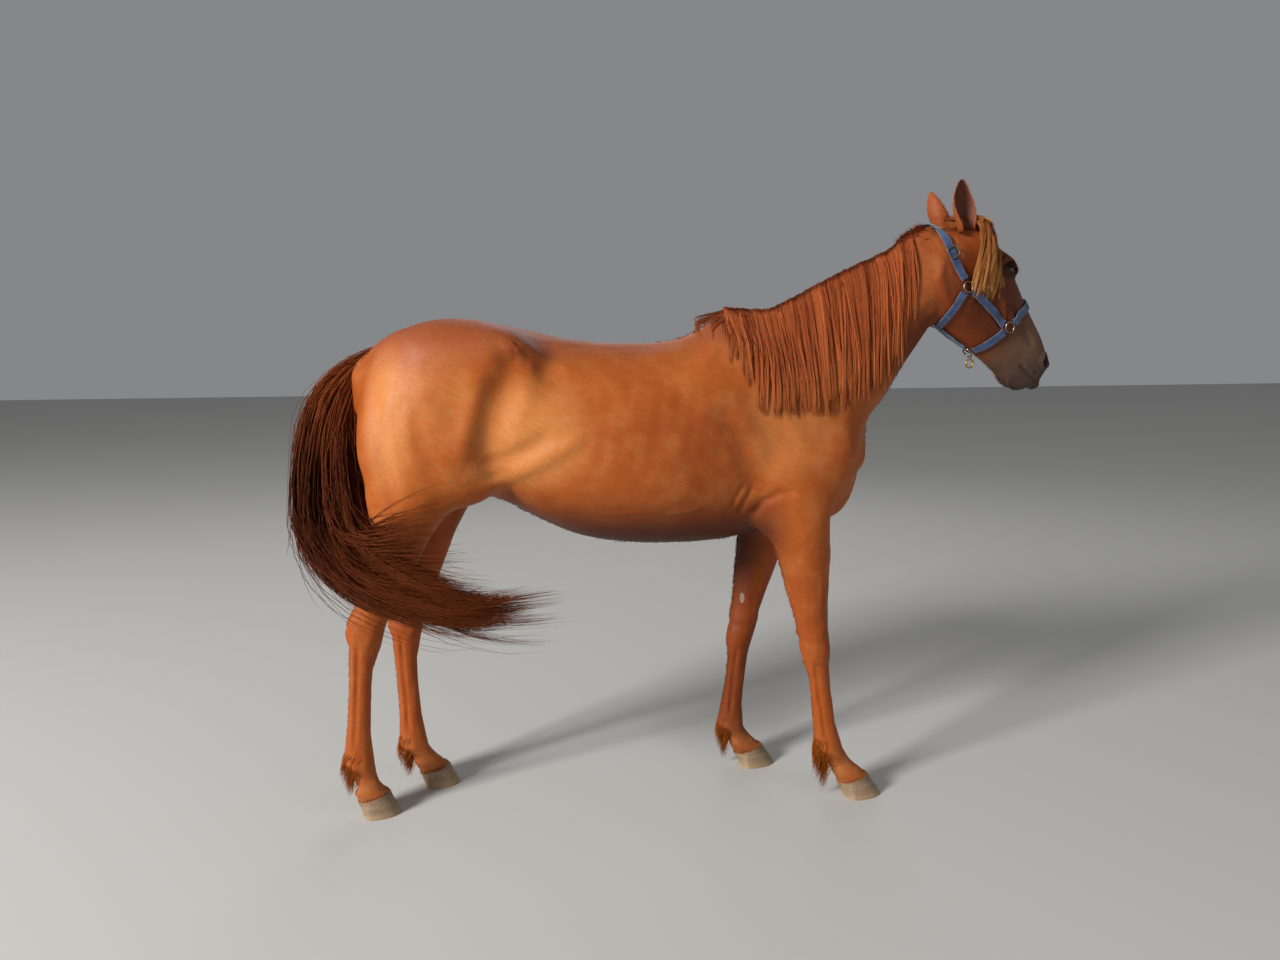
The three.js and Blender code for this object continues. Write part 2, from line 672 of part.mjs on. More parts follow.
// Thins a closed mesh to a number of triangles: the edge whose collapse moves the surface
// least goes first, by the planes of the triangles that meet in it.
function thinned({ vertices, triangles }, target) {
  const points = vertices.map((v) => [...v]);
  const faces = triangles.map((t) => [...t]);
  const around = points.map(() => new Set());
  const quadric = points.map(() => new Float64Array(10));
  faces.forEach((face, n) => {
    const [a, b, c] = face.map((i) => points[i]);
    const normal = normalOf(a, b, c);
    const area = Math.hypot(...normal) || TINY;
    const [p, q, r] = normal.map((x) => x / area);
    const d = -dot([p, q, r], a);
    const plane = [p * p, p * q, p * r, p * d, q * q, q * r, q * d, r * r, r * d, d * d];
    for (const i of face) {
      around[i].add(n);
      plane.forEach((x, k) => (quadric[i][k] += x * area));
    }
  });
  const version = new Uint32Array(points.length);
  const queue = new Queue();
  const neighbours = (i) => {
    const found = new Set();
    for (const n of around[i]) for (const j of faces[n]) if (j !== i) found.add(j);
    return found;
  };
  const offer = (i, j) => {
    const m = quadric[i].map((x, k) => x + quadric[j][k]);
    const at = bestPlace(m, points[i], points[j]);
    queue.push({ i, j, at, cost: quadricError(m, at), stamp: version[i] + version[j] });
  };
  const flips = (i, j, at) => {
    for (const n of around[i]) {
      if (faces[n].includes(j)) continue;
      const before = normalOf(...faces[n].map((k) => points[k]));
      const after = normalOf(...faces[n].map((k) => (k === i ? at : points[k])));
      const limit = MOST_TURN * Math.hypot(...before) * Math.hypot(...after);
      if (dot(before, after) < limit) return true;
    }
    return false;
  };
  for (let i = 0; i < points.length; i++) for (const j of neighbours(i)) if (i < j) offer(i, j);
  let left = faces.length;
  while (left > target && queue.entries.length) {
    const { i, j, at, stamp } = queue.pop();
    if (!around[i].size || !around[j].size || stamp !== version[i] + version[j]) continue;
    const [ni, nj] = [neighbours(i), neighbours(j)];
    const shared = [...ni].filter((k) => nj.has(k)).length;
    if (!ni.has(j) || shared !== 2 || flips(i, j, at) || flips(j, i, at)) continue;
    for (const n of [...around[j]])
      if (faces[n].includes(i)) {
        for (const k of faces[n]) around[k].delete(n);
        left--;
      } else {
        faces[n] = faces[n].map((k) => (k === j ? i : k));
        around[i].add(n);
      }
    around[j].clear();
    quadric[j].forEach((x, k) => (quadric[i][k] += x));
    points[i] = at;
    version[i] += 1 + version[j];
    for (const k of neighbours(i)) offer(Math.min(i, k), Math.max(i, k));
  }
  const alive = [...new Set(around.flatMap((set) => [...set]))];
  const used = [...new Set(alive.flatMap((n) => faces[n]))];
  const place = new Map(used.map((k, n) => [k, n]));
  return {
    vertices: used.map((k) => points[k]),
    triangles: alive.map((n) => faces[n].map((k) => place.get(k))),
  };
}

// Moves the corners of a mesh onto the surface, but for those on the sides of its box.
function settled({ vertices, triangles }, distance, reach) {
  const moved = vertices.map((v) => {
    const at = new THREE.Vector3(...v);
    const d = distance(...v);
    if (Math.abs(d) > reach) return v;
    const gradient = gradientOf(distance, at);
    return at.addScaledVector(gradient, -d / gradient.lengthSq()).toArray();
  });
  return { vertices: moved, triangles };
}

// The flesh inside a box as a mesh of so many triangles.
function fleshMesh(distance, { low, high, cell, triangles }) {
  const mesh = thinned(surfaceMesh(distance, low, high, cell), triangles);
  return settled(mesh, distance, cell / 3);
}

// ---------------------------------------------------------------- solids

function solidOf({ vertices, triangles }) {
  const mesh = new wasm.Mesh({
    numProp: 3,
    vertProperties: new Float32Array(vertices.flat()),
    triVerts: new Uint32Array(triangles.flat()),
  });
  return new wasm.Manifold(mesh);
}

function solidOfGeometry(geometry) {
  const bare = geometry.index ? geometry.toNonIndexed() : geometry.clone();
  for (const name of Object.keys(bare.attributes))
    if (name !== "position") bare.deleteAttribute(name);
  const merged = mergeVertices(bare, 1e-3);
  const points = merged.attributes.position.array;
  const corners = Array.from(merged.index.array);
  const triangles = [];
  for (let i = 0; i < corners.length; i += 3) {
    const [a, b, c] = corners.slice(i, i + 3);
    if (a !== b && b !== c && c !== a) triangles.push([a, b, c]);
  }
  const vertices = [];
  for (let i = 0; i < points.length; i += 3) vertices.push([...points.slice(i, i + 3)]);
  return solidOf({ vertices, triangles });
}

// The mesh with each vertex moved out along the mean of its faces' normals.
function grown({ vertices, triangles }, by) {
  const normals = vertices.map(() => new THREE.Vector3());
  for (const face of triangles) {
    const normal = new THREE.Vector3(...normalOf(...face.map((n) => vertices[n])));
    for (const n of face) normals[n].add(normal);
  }
  const moved = vertices.map((v, n) =>
    new THREE.Vector3(...v).addScaledVector(normals[n].normalize(), by).toArray(),
  );
  return { vertices: moved, triangles };
}

// A plane through a height, or any point and the way it faces.
const level = (height) => ({ point: new THREE.Vector3(0, 0, height), normal: Z.clone() });

// Takes away what lies past a plane, on the side that its normal points to, and half a gap.
function behind(solid, { point, normal }) {
  const box = new THREE.BoxGeometry(FAR, FAR, FAR).translate(0, 0, FAR / 2 - GAP / 2);
  box.applyQuaternion(new THREE.Quaternion().setFromUnitVectors(Z, normal.clone().normalize()));
  return solid.subtract(solidOfGeometry(box.translate(point.x, point.y, point.z)));
}

function ahead(solid, { point, normal }) {
  return behind(solid, { point, normal: normal.clone().negate() });
}

// A box between two corners.
function boxSolid(low, high) {
  const size = low.map((l, k) => high[k] - l);
  const box = new THREE.BoxGeometry(...size);
  return solidOfGeometry(box.translate(...low.map((l, k) => l + size[k] / 2)));
}

function largest(solid) {
  return solid.decompose().sort((a, b) => b.volume() - a.volume())[0];
}

// A closed mesh from rings with as many points each: sides between them and a fan at each end.
function ringMesh(rings) {
  const n = rings[0].length;
  const vertices = rings.flat();
  const triangles = [];
  for (let r = 0; r + 1 < rings.length; r++)
    for (let i = 0; i < n; i++) {
      const [a, b] = [r * n + i, r * n + ((i + 1) % n)];
      triangles.push([a, b, b + n], [a, b + n, a + n]);
    }
  for (const ring of [0, rings.length - 1]) {
    const middle = [0, 1, 2].map((k) => rings[ring].reduce((sum, p) => sum + p[k], 0) / n);
    const centre = vertices.push(middle) - 1;
    for (let i = 0; i < n; i++) {
      const [a, b] = [ring * n + i, ring * n + ((i + 1) % n)];
      triangles.push(ring === 0 ? [b, a, centre] : [a, b, centre]);
    }
  }
  return facingOut({ vertices, triangles });
}

// Turns all triangles over when a closed mesh is inside out.
function facingOut({ vertices, triangles }) {
  let volume = 0;
  for (const face of triangles) {
    const [a, b, c] = face.map((n) => vertices[n]);
    volume += dot(normalOf(a, b, c), a);
  }
  const turned = volume < 0 ? triangles.map(([a, b, c]) => [a, c, b]) : triangles;
  return { vertices, triangles: turned };
}

// Points round an oval with two half axes.
function ovalRing(centre, first, second, sides) {
  const ring = [];
  for (let i = 0; i < sides; i++) {
    const turn = (i / sides) * 2 * Math.PI;
    const at = centre.clone().addScaledVector(first, Math.cos(turn));
    ring.push(at.addScaledVector(second, Math.sin(turn)).toArray());
  }
  return ring;
}

const curveOf = (points) =>
  new THREE.CatmullRomCurve3(points.map((p) => new THREE.Vector3(...p)), false, "centripetal");

// An oval tube along a curve. Its sizes are [across, along the flat way] at each point of the
// curve, and flatWay gives the direction in which the second one lies.
function tubeMesh(curve, sizes, flatWay, steps, sides) {
  const rings = [];
  for (let i = 0; i <= steps; i++) {
    const t = i / steps;
    const at = (k) => {
      const f = Math.min(t * (sizes.length - 1), sizes.length - 1.001);
      const n = Math.floor(f);
      return THREE.MathUtils.lerp(sizes[n][k], sizes[n + 1][k], f - n);
    };
    const point = curve.getPoint(t);
    const tangent = curve.getTangent(t);
    const flat = flatWay(point).clone();
    flat.addScaledVector(tangent, -flat.dot(tangent)).normalize();
    const across = new THREE.Vector3().crossVectors(tangent, flat);
    rings.push(ovalRing(point, across.multiplyScalar(at(0)), flat.multiplyScalar(at(1)), sides));
  }
  return ringMesh(rings);
}

// ---------------------------------------------------------------- nodes

const horse = new THREE.Group();
const materials = {};
for (const [name, [color, roughness, metalness]] of Object.entries(COLOURS))
  materials[name] = new THREE.MeshStandardMaterial({ color, roughness, metalness });

function addNode(name, solid, material) {
  const { numProp, vertProperties, triVerts, numVert } = solid.getMesh();
  const positions = new Float32Array(numVert * 3);
  for (let i = 0; i < numVert; i++)
    for (let k = 0; k < 3; k++) positions[i * 3 + k] = vertProperties[i * numProp + k];
  const geometry = new THREE.BufferGeometry();
  geometry.setAttribute("position", new THREE.BufferAttribute(positions, 3));
  geometry.setIndex(new THREE.BufferAttribute(new Uint32Array(triVerts), 1));
  const mesh = new THREE.Mesh(geometry, materials[material]);
  mesh.name = name;
  horse.add(mesh);
}

// ---------------------------------------------------------------- trunk and neck

const torsoMesh = fleshMesh(torsoFlesh, TORSO);
const torso = solidOf(torsoMesh);
const torsoRoom = solidOf(grown(torsoMesh, GAP));
const hindSpace = boxSolid([-FAR, -FAR, -FAR], [HIND_CUT_FRONT, FAR, HIND.cut + GAP / 2]);
const foreSpace = boxSolid([-FAR, -FAR, -FAR], [FAR, FAR, FORE.cut + GAP / 2]);
const trunk = behind(torso, NECK_BASE).subtract(hindSpace).subtract(foreSpace);
addNode("trunk", largest(trunk), "coat");
addNode("neck", largest(behind(ahead(torso, NECK_BASE), HEAD_BASE)), "coat");

// ---------------------------------------------------------------- legs and hooves

function hoofMesh(leg, kind) {
  const [x, y, z] = leg.coronet;
  const rings = [];
  for (let r = 0; r <= HOOF.rings; r++) {
    const down = r / HOOF.rings;
    const ring = [];
    for (let i = 0; i < HOOF.sides; i++) {
      const turn = (i / HOOF.sides) * 2 * Math.PI;
      const [c, s] = [Math.cos(turn), Math.sin(turn)];
      const [top, foot] = c > 0 ? [HOOF.toeTop, kind.toe] : [HOOF.heelTop, HOOF.heel];
      const out = THREE.MathUtils.lerp(top, foot, down);
      const wide = THREE.MathUtils.lerp(HOOF.halfTop, kind.half, down);
      ring.push([x + out * c, y + wide * s, (z + HOOF.toeRise * c) * (1 - down)]);
    }
    rings.push(ring);
  }
  return ringMesh(rings);
}

function tuftMesh(leg) {
  const [x, y, z] = leg.fetlock;
  const rings = TUFT_SECTIONS.map(([back, down, depth, half]) => {
    const centre = new THREE.Vector3(x - back, y, z - down);
    const [first, second] = [X.clone().multiplyScalar(depth), Y.clone().multiplyScalar(half)];
    return ovalRing(centre, first, second, TUFT_SIDES);
  });
  return ringMesh(rings);
}

// The box that a leg is meshed in.
function legBox(leg, { cut, cell, triangles }) {
  const inReach = legRows(leg).filter((row) => row[0] < cut + LEG_BOX.reach);
  const [inner, outer] = [LEG_BOX.inner, LEG_BOX.out];
  const sides = leg.coronet[1] < 0 ? [-outer, -inner] : [inner, outer];
  const back = Math.min(...inReach.map((row) => row[1])) - LEG_BOX.margin;
  const front = Math.max(...inReach.map((row) => row[2])) + LEG_BOX.margin;
  const low = [back, sides[0], LEG_BOX.floor];
  const high = [front, sides[1], cut + LEG_BOX.above];
  return { low, high, cell, triangles };
}

const hindRooms = [];
for (const [name, leg] of Object.entries(LEGS)) {
  const kind = leg.fore ? FORE : HIND;
  const [x, y, z] = leg.coronet;
  const flesh = leg.fore ? fleshOf([legForms[name], ...trunkForms]) : torsoFlesh;
  const mesh = fleshMesh(flesh, legBox(leg, kind));
  const whole = solidOf(mesh);
  const room = solidOf(grown(mesh, GAP));
  if (!leg.fore) hindRooms.push(room);
  const joint = leg.fore ? leg.knee : leg.hock;
  const fetlock = {
    point: new THREE.Vector3(leg.fetlock[0], 0, leg.fetlock[2] - PASTERN_CUT.drop),
    normal: new THREE.Vector3(PASTERN_CUT.lean, 0, 1),
  };
  const coronet = {
    point: new THREE.Vector3(x, y, z),
    normal: new THREE.Vector3(-HOOF.toeRise / HOOF.heelTop, 0, 1),
  };
  const cuts = [level(kind.cut), level(joint[2] - CANNON_CUT), fetlock, coronet];
  kind.parts.forEach((part, n) => {
    const piece = ahead(behind(whole, cuts[n]), cuts[n + 1]);
    addNode(`leg_${name}_${part}`, largest(piece), "coat");
  });
  addNode(`leg_${name}_hoof`, largest(behind(solidOf(hoofMesh(leg, kind)), coronet)), "hoof");
  addNode(`leg_${name}_tuft`, largest(solidOf(tuftMesh(leg)).subtract(room)), "mane");
}

// ---------------------------------------------------------------- head, eyes and ears

const headMesh = fleshMesh(headFlesh, HEAD);
const headRoom = solidOf(grown(headMesh, GAP));
let head = ahead(solidOf(headMesh), HEAD_BASE);
for (const hand of HANDS) {
  const centre = inFrame(headFrame, EYE.at[0], EYE.at[1], EYE.at[2] * hand);
  const ball = (radius) => {
    const sphere = new THREE.SphereGeometry(radius, EYE.sides, EYE.rings);
    return solidOfGeometry(sphere.translate(centre.x, centre.y, centre.z));
  };
  head = head.subtract(ball(EYE.radius + GAP));
  addNode(`eye_${sideName(hand)}`, ball(EYE.radius), "eye");
}
addNode("head", largest(head), "coat");

// A cupped leaf: each ring is an arc of some thickness, open to one side.
function earMesh(hand) {
  const mirrored = ([a, u, v]) => inFrame(headFrame, a, u, v * hand);
  const root = mirrored(hand < 0 ? EAR.rightRoot : EAR.leftRoot);
  const tip = mirrored(hand < 0 ? EAR.rightTip : EAR.leftTip);
  const [forward, outward] = hand < 0 ? EAR.rightOpens : EAR.leftOpens;
  const broad = hand < 0 ? EAR.rightBroad : 1;
  const axis = tip.clone().sub(root).normalize();
  const opens = new THREE.Vector3()
    .addScaledVector(headForward, forward)
    .addScaledVector(headLeft, outward * hand);
  opens.addScaledVector(axis, -opens.dot(axis)).normalize();
  const across = new THREE.Vector3().crossVectors(axis, opens);
  const rings = EAR.widths.map((half, r) => {
    const centre = root.clone().lerp(tip, r / (EAR.widths.length - 1));
    const spread = THREE.MathUtils.degToRad(EAR.spreads[r]);
    const outer = (half * broad) / Math.sin(Math.min(spread, Math.PI / 2));
    const inner = outer - Math.min(EAR.thickness, outer / 2);
    const at = (turn, radius) =>
      centre
        .clone()
        .addScaledVector(opens, outer * EAR.setBack - Math.cos(turn) * radius)
        .addScaledVector(across, Math.sin(turn) * radius)
        .toArray();
    const turns = EAR.arc.map((share) => share * spread);
    const back = turns.map((turn) => at(turn, outer));
    return [...back, ...turns.reverse().map((turn) => at(turn, inner))];
  });
  return ringMesh(rings);
}

for (const hand of HANDS) {
  const ear = solidOf(earMesh(hand)).subtract(headRoom);
  addNode(`ear_${sideName(hand)}`, largest(ear), "coat");
}

// ---------------------------------------------------------------- tail, mane and forelock

const tailCurve = curveOf(TAIL_SECTIONS.map((row) => row.slice(0, 3)));
const tailSizes = TAIL_SECTIONS.map((row) => row.slice(3));
let tail = solidOf(tubeMesh(tailCurve, tailSizes, () => Y, TAIL_RINGS, TAIL_SIDES));
for (const room of [torsoRoom, ...hindRooms]) tail = tail.subtract(room);
TAIL_PARTINGS.forEach((at, n) => {
  const parting = { point: tailCurve.getPoint(at), normal: tailCurve.getTangent(at) };
  addNode(["tail_root", "tail_middle"][n], largest(behind(tail, parting)), "tail");
  tail = ahead(tail, parting);
});
addNode("tail_end", largest(tail), "tail");

const maneLow = curveThrough(MANE_EDGE, 1);
const maneForm = (x, y, z) => {
  const past = Math.max(maneLow(x) - z, x - MANE.front, MANE_EDGE[0][0] - x, y - MANE.farSide);
  return Math.max(torsoFlesh(x, y, z) - MANE.depth, past);
};
const maneGrid = surfaceMesh(maneForm, MANE.low, MANE.high, MANE.cell);
const maneMesh = thinned(maneGrid, MANE.triangles);
addNode("mane", largest(solidOf(maneMesh).subtract(torsoRoom).subtract(headRoom)), "mane");

const lockPoints = FORELOCK_SECTIONS.map((row) => inFrame(headFrame, ...row).toArray());
const lockCurve = curveOf(lockPoints);
const lockMesh = tubeMesh(
  lockCurve,
  FORELOCK_SECTIONS.map((row) => row.slice(3)),
  (point) => gradientOf(headFlesh, point),
  FORELOCK_RINGS,
  FORELOCK_SIDES,
);
const forelock = solidOf(lockMesh).subtract(headRoom).subtract(torsoRoom);
addNode("forelock", largest(forelock), "mane");

// ---------------------------------------------------------------- head collar

// The point that lies a lift off the head, out from its middle line through a place.
function onHead([along, up, side], lift) {
  const axis = inFrame(headFrame, along, AXIS_RISE, 0);
  const out = inFrame(headFrame, along, up, side).sub(axis).normalize();
  let [low, high] = [0, OUT_OF_REACH];
  for (let i = 0; i < HALVINGS; i++) {
    const middle = (low + high) / 2;
    const { x, y, z } = axis.clone().addScaledVector(out, middle);
    if (headFlesh(x, y, z) < lift) low = middle;
    else high = middle;
  }
  return axis.addScaledVector(out, high);
}

// A band of webbing along a path of points, flat on the head.
function bandMesh(points) {
  const rings = points.map((point, n) => {
    const [before, after] = [points[Math.max(n - 1, 0)], points[Math.min(n + 1, points.length - 1)]];
    const tangent = after.clone().sub(before).normalize();
    const lift = gradientOf(headFlesh, point).normalize();
    const across = new THREE.Vector3().crossVectors(tangent, lift).normalize();
    const corner = (a, b) =>
      point
        .clone()
        .addScaledVector(across, (a * WEB.width) / 2)
        .addScaledVector(lift, (b * WEB.thickness) / 2)
        .toArray();
    return [corner(-1, -1), corner(1, -1), corner(1, 1), corner(-1, 1)];
  });
  return ringMesh(rings);
}

// Lays a band from anchor to anchor, cut short by what it is sewn round at each end.
function addBand(name, anchors, [trimStart, trimEnd], lift = WEB.lift) {
  const curve = curveOf(anchors);
  const steps = BAND_STEPS[name.split("_")[0]];
  const length = curve.getLength();
  const points = [];
  for (let i = 0; i <= steps; i++) {
    const t = THREE.MathUtils.lerp(trimStart / length, 1 - trimEnd / length, i / steps);
    points.push(onHead(curve.getPointAt(t).toArray(), lift));
  }
  const band = solidOf(bandMesh(points)).subtract(headRoom).subtract(torsoRoom);
  addNode(`halter_${name}`, largest(band), "webbing");
}

// A wire ring flat on the head, or hanging in the plane that the head's middle line lies in.
function addRing(name, centre, facing, radius) {
  const ring = new THREE.TorusGeometry(radius, RING.wire, RING.wireSides, RING.sides);
  ring.applyQuaternion(new THREE.Quaternion().setFromUnitVectors(Z, facing));
  addNode(`halter_${name}`, solidOfGeometry(ring.translate(centre.x, centre.y, centre.z)), "metal");
}

const onSide = (path, hand) => path.map(([along, up, side]) => [along, up, side * hand]);
const acrossHead = (path) => [...onSide(path, -1), ...onSide(path, 1).reverse().slice(1)];
const wireTrim = RING.radius + RING.wire + GAP;
for (const hand of HANDS) {
  const side = sideName(hand);
  const [cheek, nose] = onSide([CHEEK_RING, SIDE_RING], hand);
  for (const [name, at] of [["cheek_ring", cheek], ["side_ring", nose]]) {
    const centre = onHead(at, RING.lift);
    const out = gradientOf(headFlesh, centre).normalize();
    addRing(`${name}_${side}`, centre, out, RING.radius);
  }
  addBand(`cheek_${side}`, [cheek, nose], [wireTrim, wireTrim]);
  const chinPath = [nose, ...onSide(CHIN_PATH, hand)];
  addBand(`chin_${side}`, chinPath, [wireTrim, CHIN_RING.radius + RING.wire + GAP]);
}
const crownPath = acrossHead([CHEEK_RING, ...CROWN_PATH]);
addBand("crown", crownPath, [wireTrim, wireTrim], WEB.pollLift);
addBand("throat", acrossHead([CHEEK_RING, ...THROAT_PATH]), [wireTrim, wireTrim]);
addBand("nose", acrossHead([SIDE_RING, ...NOSE_PATH]), [wireTrim, wireTrim]);
const chinTrim = CHIN_RING.radius + RING.wire + CHIN_RING.slack;
const jawTrim = [WEB.width / 2 + GAP, chinTrim];
addBand("jaw", [THROAT_PATH.at(-1), CHIN_PATH.at(-1)], jawTrim);
const { along: alongHead, up: upHead, side: sideHead } = headFrame;
const chinCentre = onHead(CHIN_PATH.at(-1), CHIN_RING.lift);
addRing("chin_ring", chinCentre, upHead, CHIN_RING.radius);
const looseCentre = chinCentre
  .clone()
  .addScaledVector(alongHead, CHIN_RING.radius)
  .addScaledVector(Z, -LOOSE_RING.drop);
addRing("loose_ring", looseCentre, sideHead, LOOSE_RING.radius);
const buckleAt = onHead(onSide(CROWN_PATH, -1)[0], BUCKLE.lift);
const buckleOut = gradientOf(headFlesh, buckleAt).normalize();
const buckle = new THREE.TorusGeometry(BUCKLE.radius, BUCKLE.wire, RING.wireSides, BUCKLE.sides);
buckle.rotateZ(Math.PI / 4);
buckle.applyQuaternion(new THREE.Quaternion().setFromUnitVectors(Z, buckleOut));
buckle.translate(buckleAt.x, buckleAt.y, buckleAt.z);
addNode("halter_buckle", solidOfGeometry(buckle), "metal");

// ---------------------------------------------------------------- standing it on the floor

horse.updateMatrixWorld(true);
const reach = new THREE.Box3().setFromObject(horse);
const middle = reach.getCenter(new THREE.Vector3());
horse.position.set(-middle.x, -middle.y, -reach.min.z);

export default horse;
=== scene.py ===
"""Looks of the standing horse: one skin with its folds and lids, eyes, hooves, mane, forelock,
tail, small tufts and a webbing halter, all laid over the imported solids."""

import math
from contextlib import contextmanager

import bmesh
import bpy
import numpy as np
from mathutils import Matrix, Vector
from mathutils.bvhtree import BVHTree


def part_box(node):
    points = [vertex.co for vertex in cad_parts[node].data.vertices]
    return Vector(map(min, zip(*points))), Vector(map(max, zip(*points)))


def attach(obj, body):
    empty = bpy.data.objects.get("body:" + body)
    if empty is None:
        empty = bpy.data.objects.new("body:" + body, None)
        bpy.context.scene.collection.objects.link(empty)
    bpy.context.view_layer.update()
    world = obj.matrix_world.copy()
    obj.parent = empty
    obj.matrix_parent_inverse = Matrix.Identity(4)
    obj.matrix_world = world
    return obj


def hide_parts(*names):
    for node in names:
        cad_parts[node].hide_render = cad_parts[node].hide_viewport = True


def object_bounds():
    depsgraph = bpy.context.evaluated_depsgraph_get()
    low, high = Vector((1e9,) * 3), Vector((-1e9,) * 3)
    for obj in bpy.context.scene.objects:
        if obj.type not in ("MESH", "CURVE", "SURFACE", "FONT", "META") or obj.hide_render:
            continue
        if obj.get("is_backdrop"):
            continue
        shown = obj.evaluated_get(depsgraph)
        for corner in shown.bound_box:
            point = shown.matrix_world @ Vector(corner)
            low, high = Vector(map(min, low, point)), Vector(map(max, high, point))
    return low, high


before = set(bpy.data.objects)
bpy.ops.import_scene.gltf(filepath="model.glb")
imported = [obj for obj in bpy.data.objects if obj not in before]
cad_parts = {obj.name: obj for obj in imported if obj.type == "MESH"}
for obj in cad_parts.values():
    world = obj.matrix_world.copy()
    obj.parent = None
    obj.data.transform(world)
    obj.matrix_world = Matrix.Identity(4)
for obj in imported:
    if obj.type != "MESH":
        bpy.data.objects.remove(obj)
CAD_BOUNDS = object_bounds()

bl_info = {
    "name": "Standing Horse",
    "version": (1, 0, 0),
    "blender": (4, 5, 0),
    "location": "3D View > Sidebar > Horse",
    "description": "Builds the skin, hair, hooves and halter of a standing horse",
    "category": "Add Mesh",
}

MM = 0.001
SEED = 20

# The head's own axes: along the nose, up off the forehead, and out to the horse's left.
HEAD_TURN = math.radians(10)
HEAD_ORIGIN = np.array((1089.5, 5.2, 1850.0))
HEAD_ALONG = np.array((0.6 * math.cos(HEAD_TURN), 0.6 * math.sin(HEAD_TURN), -0.8))
HEAD_UP = np.array((0.8 * math.cos(HEAD_TURN), 0.8 * math.sin(HEAD_TURN), 0.6))
HEAD_SIDE = np.array((-math.sin(HEAD_TURN), math.cos(HEAD_TURN), 0.0))
EYE_AT = (243, 113, 74)
EYE_RADIUS = 22

FLESH = ["trunk", "neck", "head"] + [
    f"leg_{end}_{side}_{length}"
    for end, upper in (("fore", "forearm"), ("hind", "gaskin"))
    for side in ("left", "right")
    for length in (upper, "cannon", "pastern")
]


# ---------------------------------------------------------------- places

def on_head(along, up, side):
    """A place given in the head's axes, in millimetres of the horse's own frame."""
    return HEAD_ORIGIN + along * HEAD_ALONG + up * HEAD_UP + side * HEAD_SIDE


def frame_shift():
    """Millimetres from the horse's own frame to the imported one, read off the two eyes."""
    boxes = [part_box(name) for name in ("eye_left", "eye_right")]
    middle = sum((np.array(low) + np.array(high)) / 2 for low, high in boxes) / 2
    return middle / MM - on_head(EYE_AT[0], EYE_AT[1], 0)


SHIFT = frame_shift()


def metres(points):
    """Millimetres of the horse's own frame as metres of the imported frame."""
    return (np.asarray(points, dtype=float) + SHIFT) * MM


def millimetres(points):
    """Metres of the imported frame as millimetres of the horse's own frame."""
    return np.asarray(points, dtype=float) / MM - SHIFT


def head_axes(points):
    """Millimetre places turned into the head's axes."""
    away = points - HEAD_ORIGIN
    return np.stack([away @ HEAD_ALONG, away @ HEAD_UP, away @ HEAD_SIDE], axis=-1)


# ---------------------------------------------------------------- meshes

MERGE_WITHIN = 0.02
RELAX_IN, RELAX_OUT = 0.55, -0.57  # one step draws together, the next lets go again


def activate(thing, *others):
    """Selects these things and no others, with the first of them active."""
    for other in bpy.context.selected_objects:
        other.select_set(False)
    for chosen in (thing, *others):
        chosen.select_set(True)
    bpy.context.view_layer.objects.active = thing


def on_whole_mesh(thing, step, **settings):
    """Runs an edit mode operator on all of a thing's mesh."""
    activate(thing)
    bpy.ops.object.mode_set(mode="EDIT")
    bpy.ops.mesh.select_all(action="SELECT")
    step(**settings)
    bpy.ops.object.mode_set(mode="OBJECT")


def apply_modifier(thing, kind, **settings):
    activate(thing)
    modifier = thing.modifiers.new(kind.lower(), kind)
    for key, value in settings.items():
        setattr(modifier, key, value)
    bpy.ops.object.modifier_apply(modifier=modifier.name)


def smooth_by_angle(thing, degrees):
    activate(thing)
    bpy.ops.object.shade_smooth_by_angle(angle=math.radians(degrees))


def placed(name, data):
    """A new object in the scene."""
    thing = bpy.data.objects.new(name, data)
    bpy.context.collection.objects.link(thing)
    return thing


def read(group, key, width, kind=float):
    """One value of every vertex or edge, in rows."""
    values = np.empty(len(group) * width, dtype=kind)
    group.foreach_get(key, values)
    return values.reshape(-1, width)


def vertices(thing):
    """The vertices' places, in millimetres of the horse's own frame."""
    return millimetres(read(thing.data.vertices, "co", 3))


def normals(thing):
    return read(thing.data.vertices, "normal", 3)


def edge_ends(thing):
    return read(thing.data.edges, "vertices", 2, np.int64)


def set_vertices(thing, places):
    thing.data.vertices.foreach_set("co", metres(places).ravel())
    thing.data.update()


def set_mark(mesh, name, values):
    """Gives every vertex a number that a material can read."""
    mesh.attributes.new(name, "FLOAT", "POINT").data.foreach_set("value", values)


@contextmanager
def opened(mesh):
    """A mesh open for edits, which are written back at the end."""
    edited = bmesh.new()
    edited.from_mesh(mesh)
    edited.verts.ensure_lookup_table()
    yield edited
    edited.to_mesh(mesh)
    edited.free()


def merged_copy(node):
    """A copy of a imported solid, its triangles merged and its surface moved out a little."""
    copy = placed("flesh_" + node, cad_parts[node].data.copy())
    with opened(copy.data) as solid:
        bmesh.ops.remove_doubles(solid, verts=solid.verts, dist=MERGE_WITHIN * MM)
        solid.normal_update()
        for vertex, way in [(v, v.normal.copy()) for v in solid.verts]:
            vertex.co += way * SKIN_GROW * MM
    return copy


def relaxed(places, ends, rounds):
    """Smooths places along their edges without shrinking the form."""
    count = len(places)
    share = np.bincount(ends.ravel(), minlength=count).astype(float)[:, None]
    share[share == 0] = 1
    for step in range(rounds * 2):
        total = np.stack([
            np.bincount(ends[:, 0], values[ends[:, 1]], count)
            + np.bincount(ends[:, 1], values[ends[:, 0]], count)
            for values in places.T], axis=1)
        places = places + (total / share - places) * (RELAX_OUT if step % 2 else RELAX_IN)
    return places


def refine(thing, chosen):
    """Halves the edges between the chosen vertices."""
    with opened(thing.data) as mesh:
        edges = [e for e in mesh.edges if chosen[e.verts[0].index] and chosen[e.verts[1].index]]
        bmesh.ops.subdivide_edges(mesh, edges=edges, cuts=1, use_grid_fill=True)


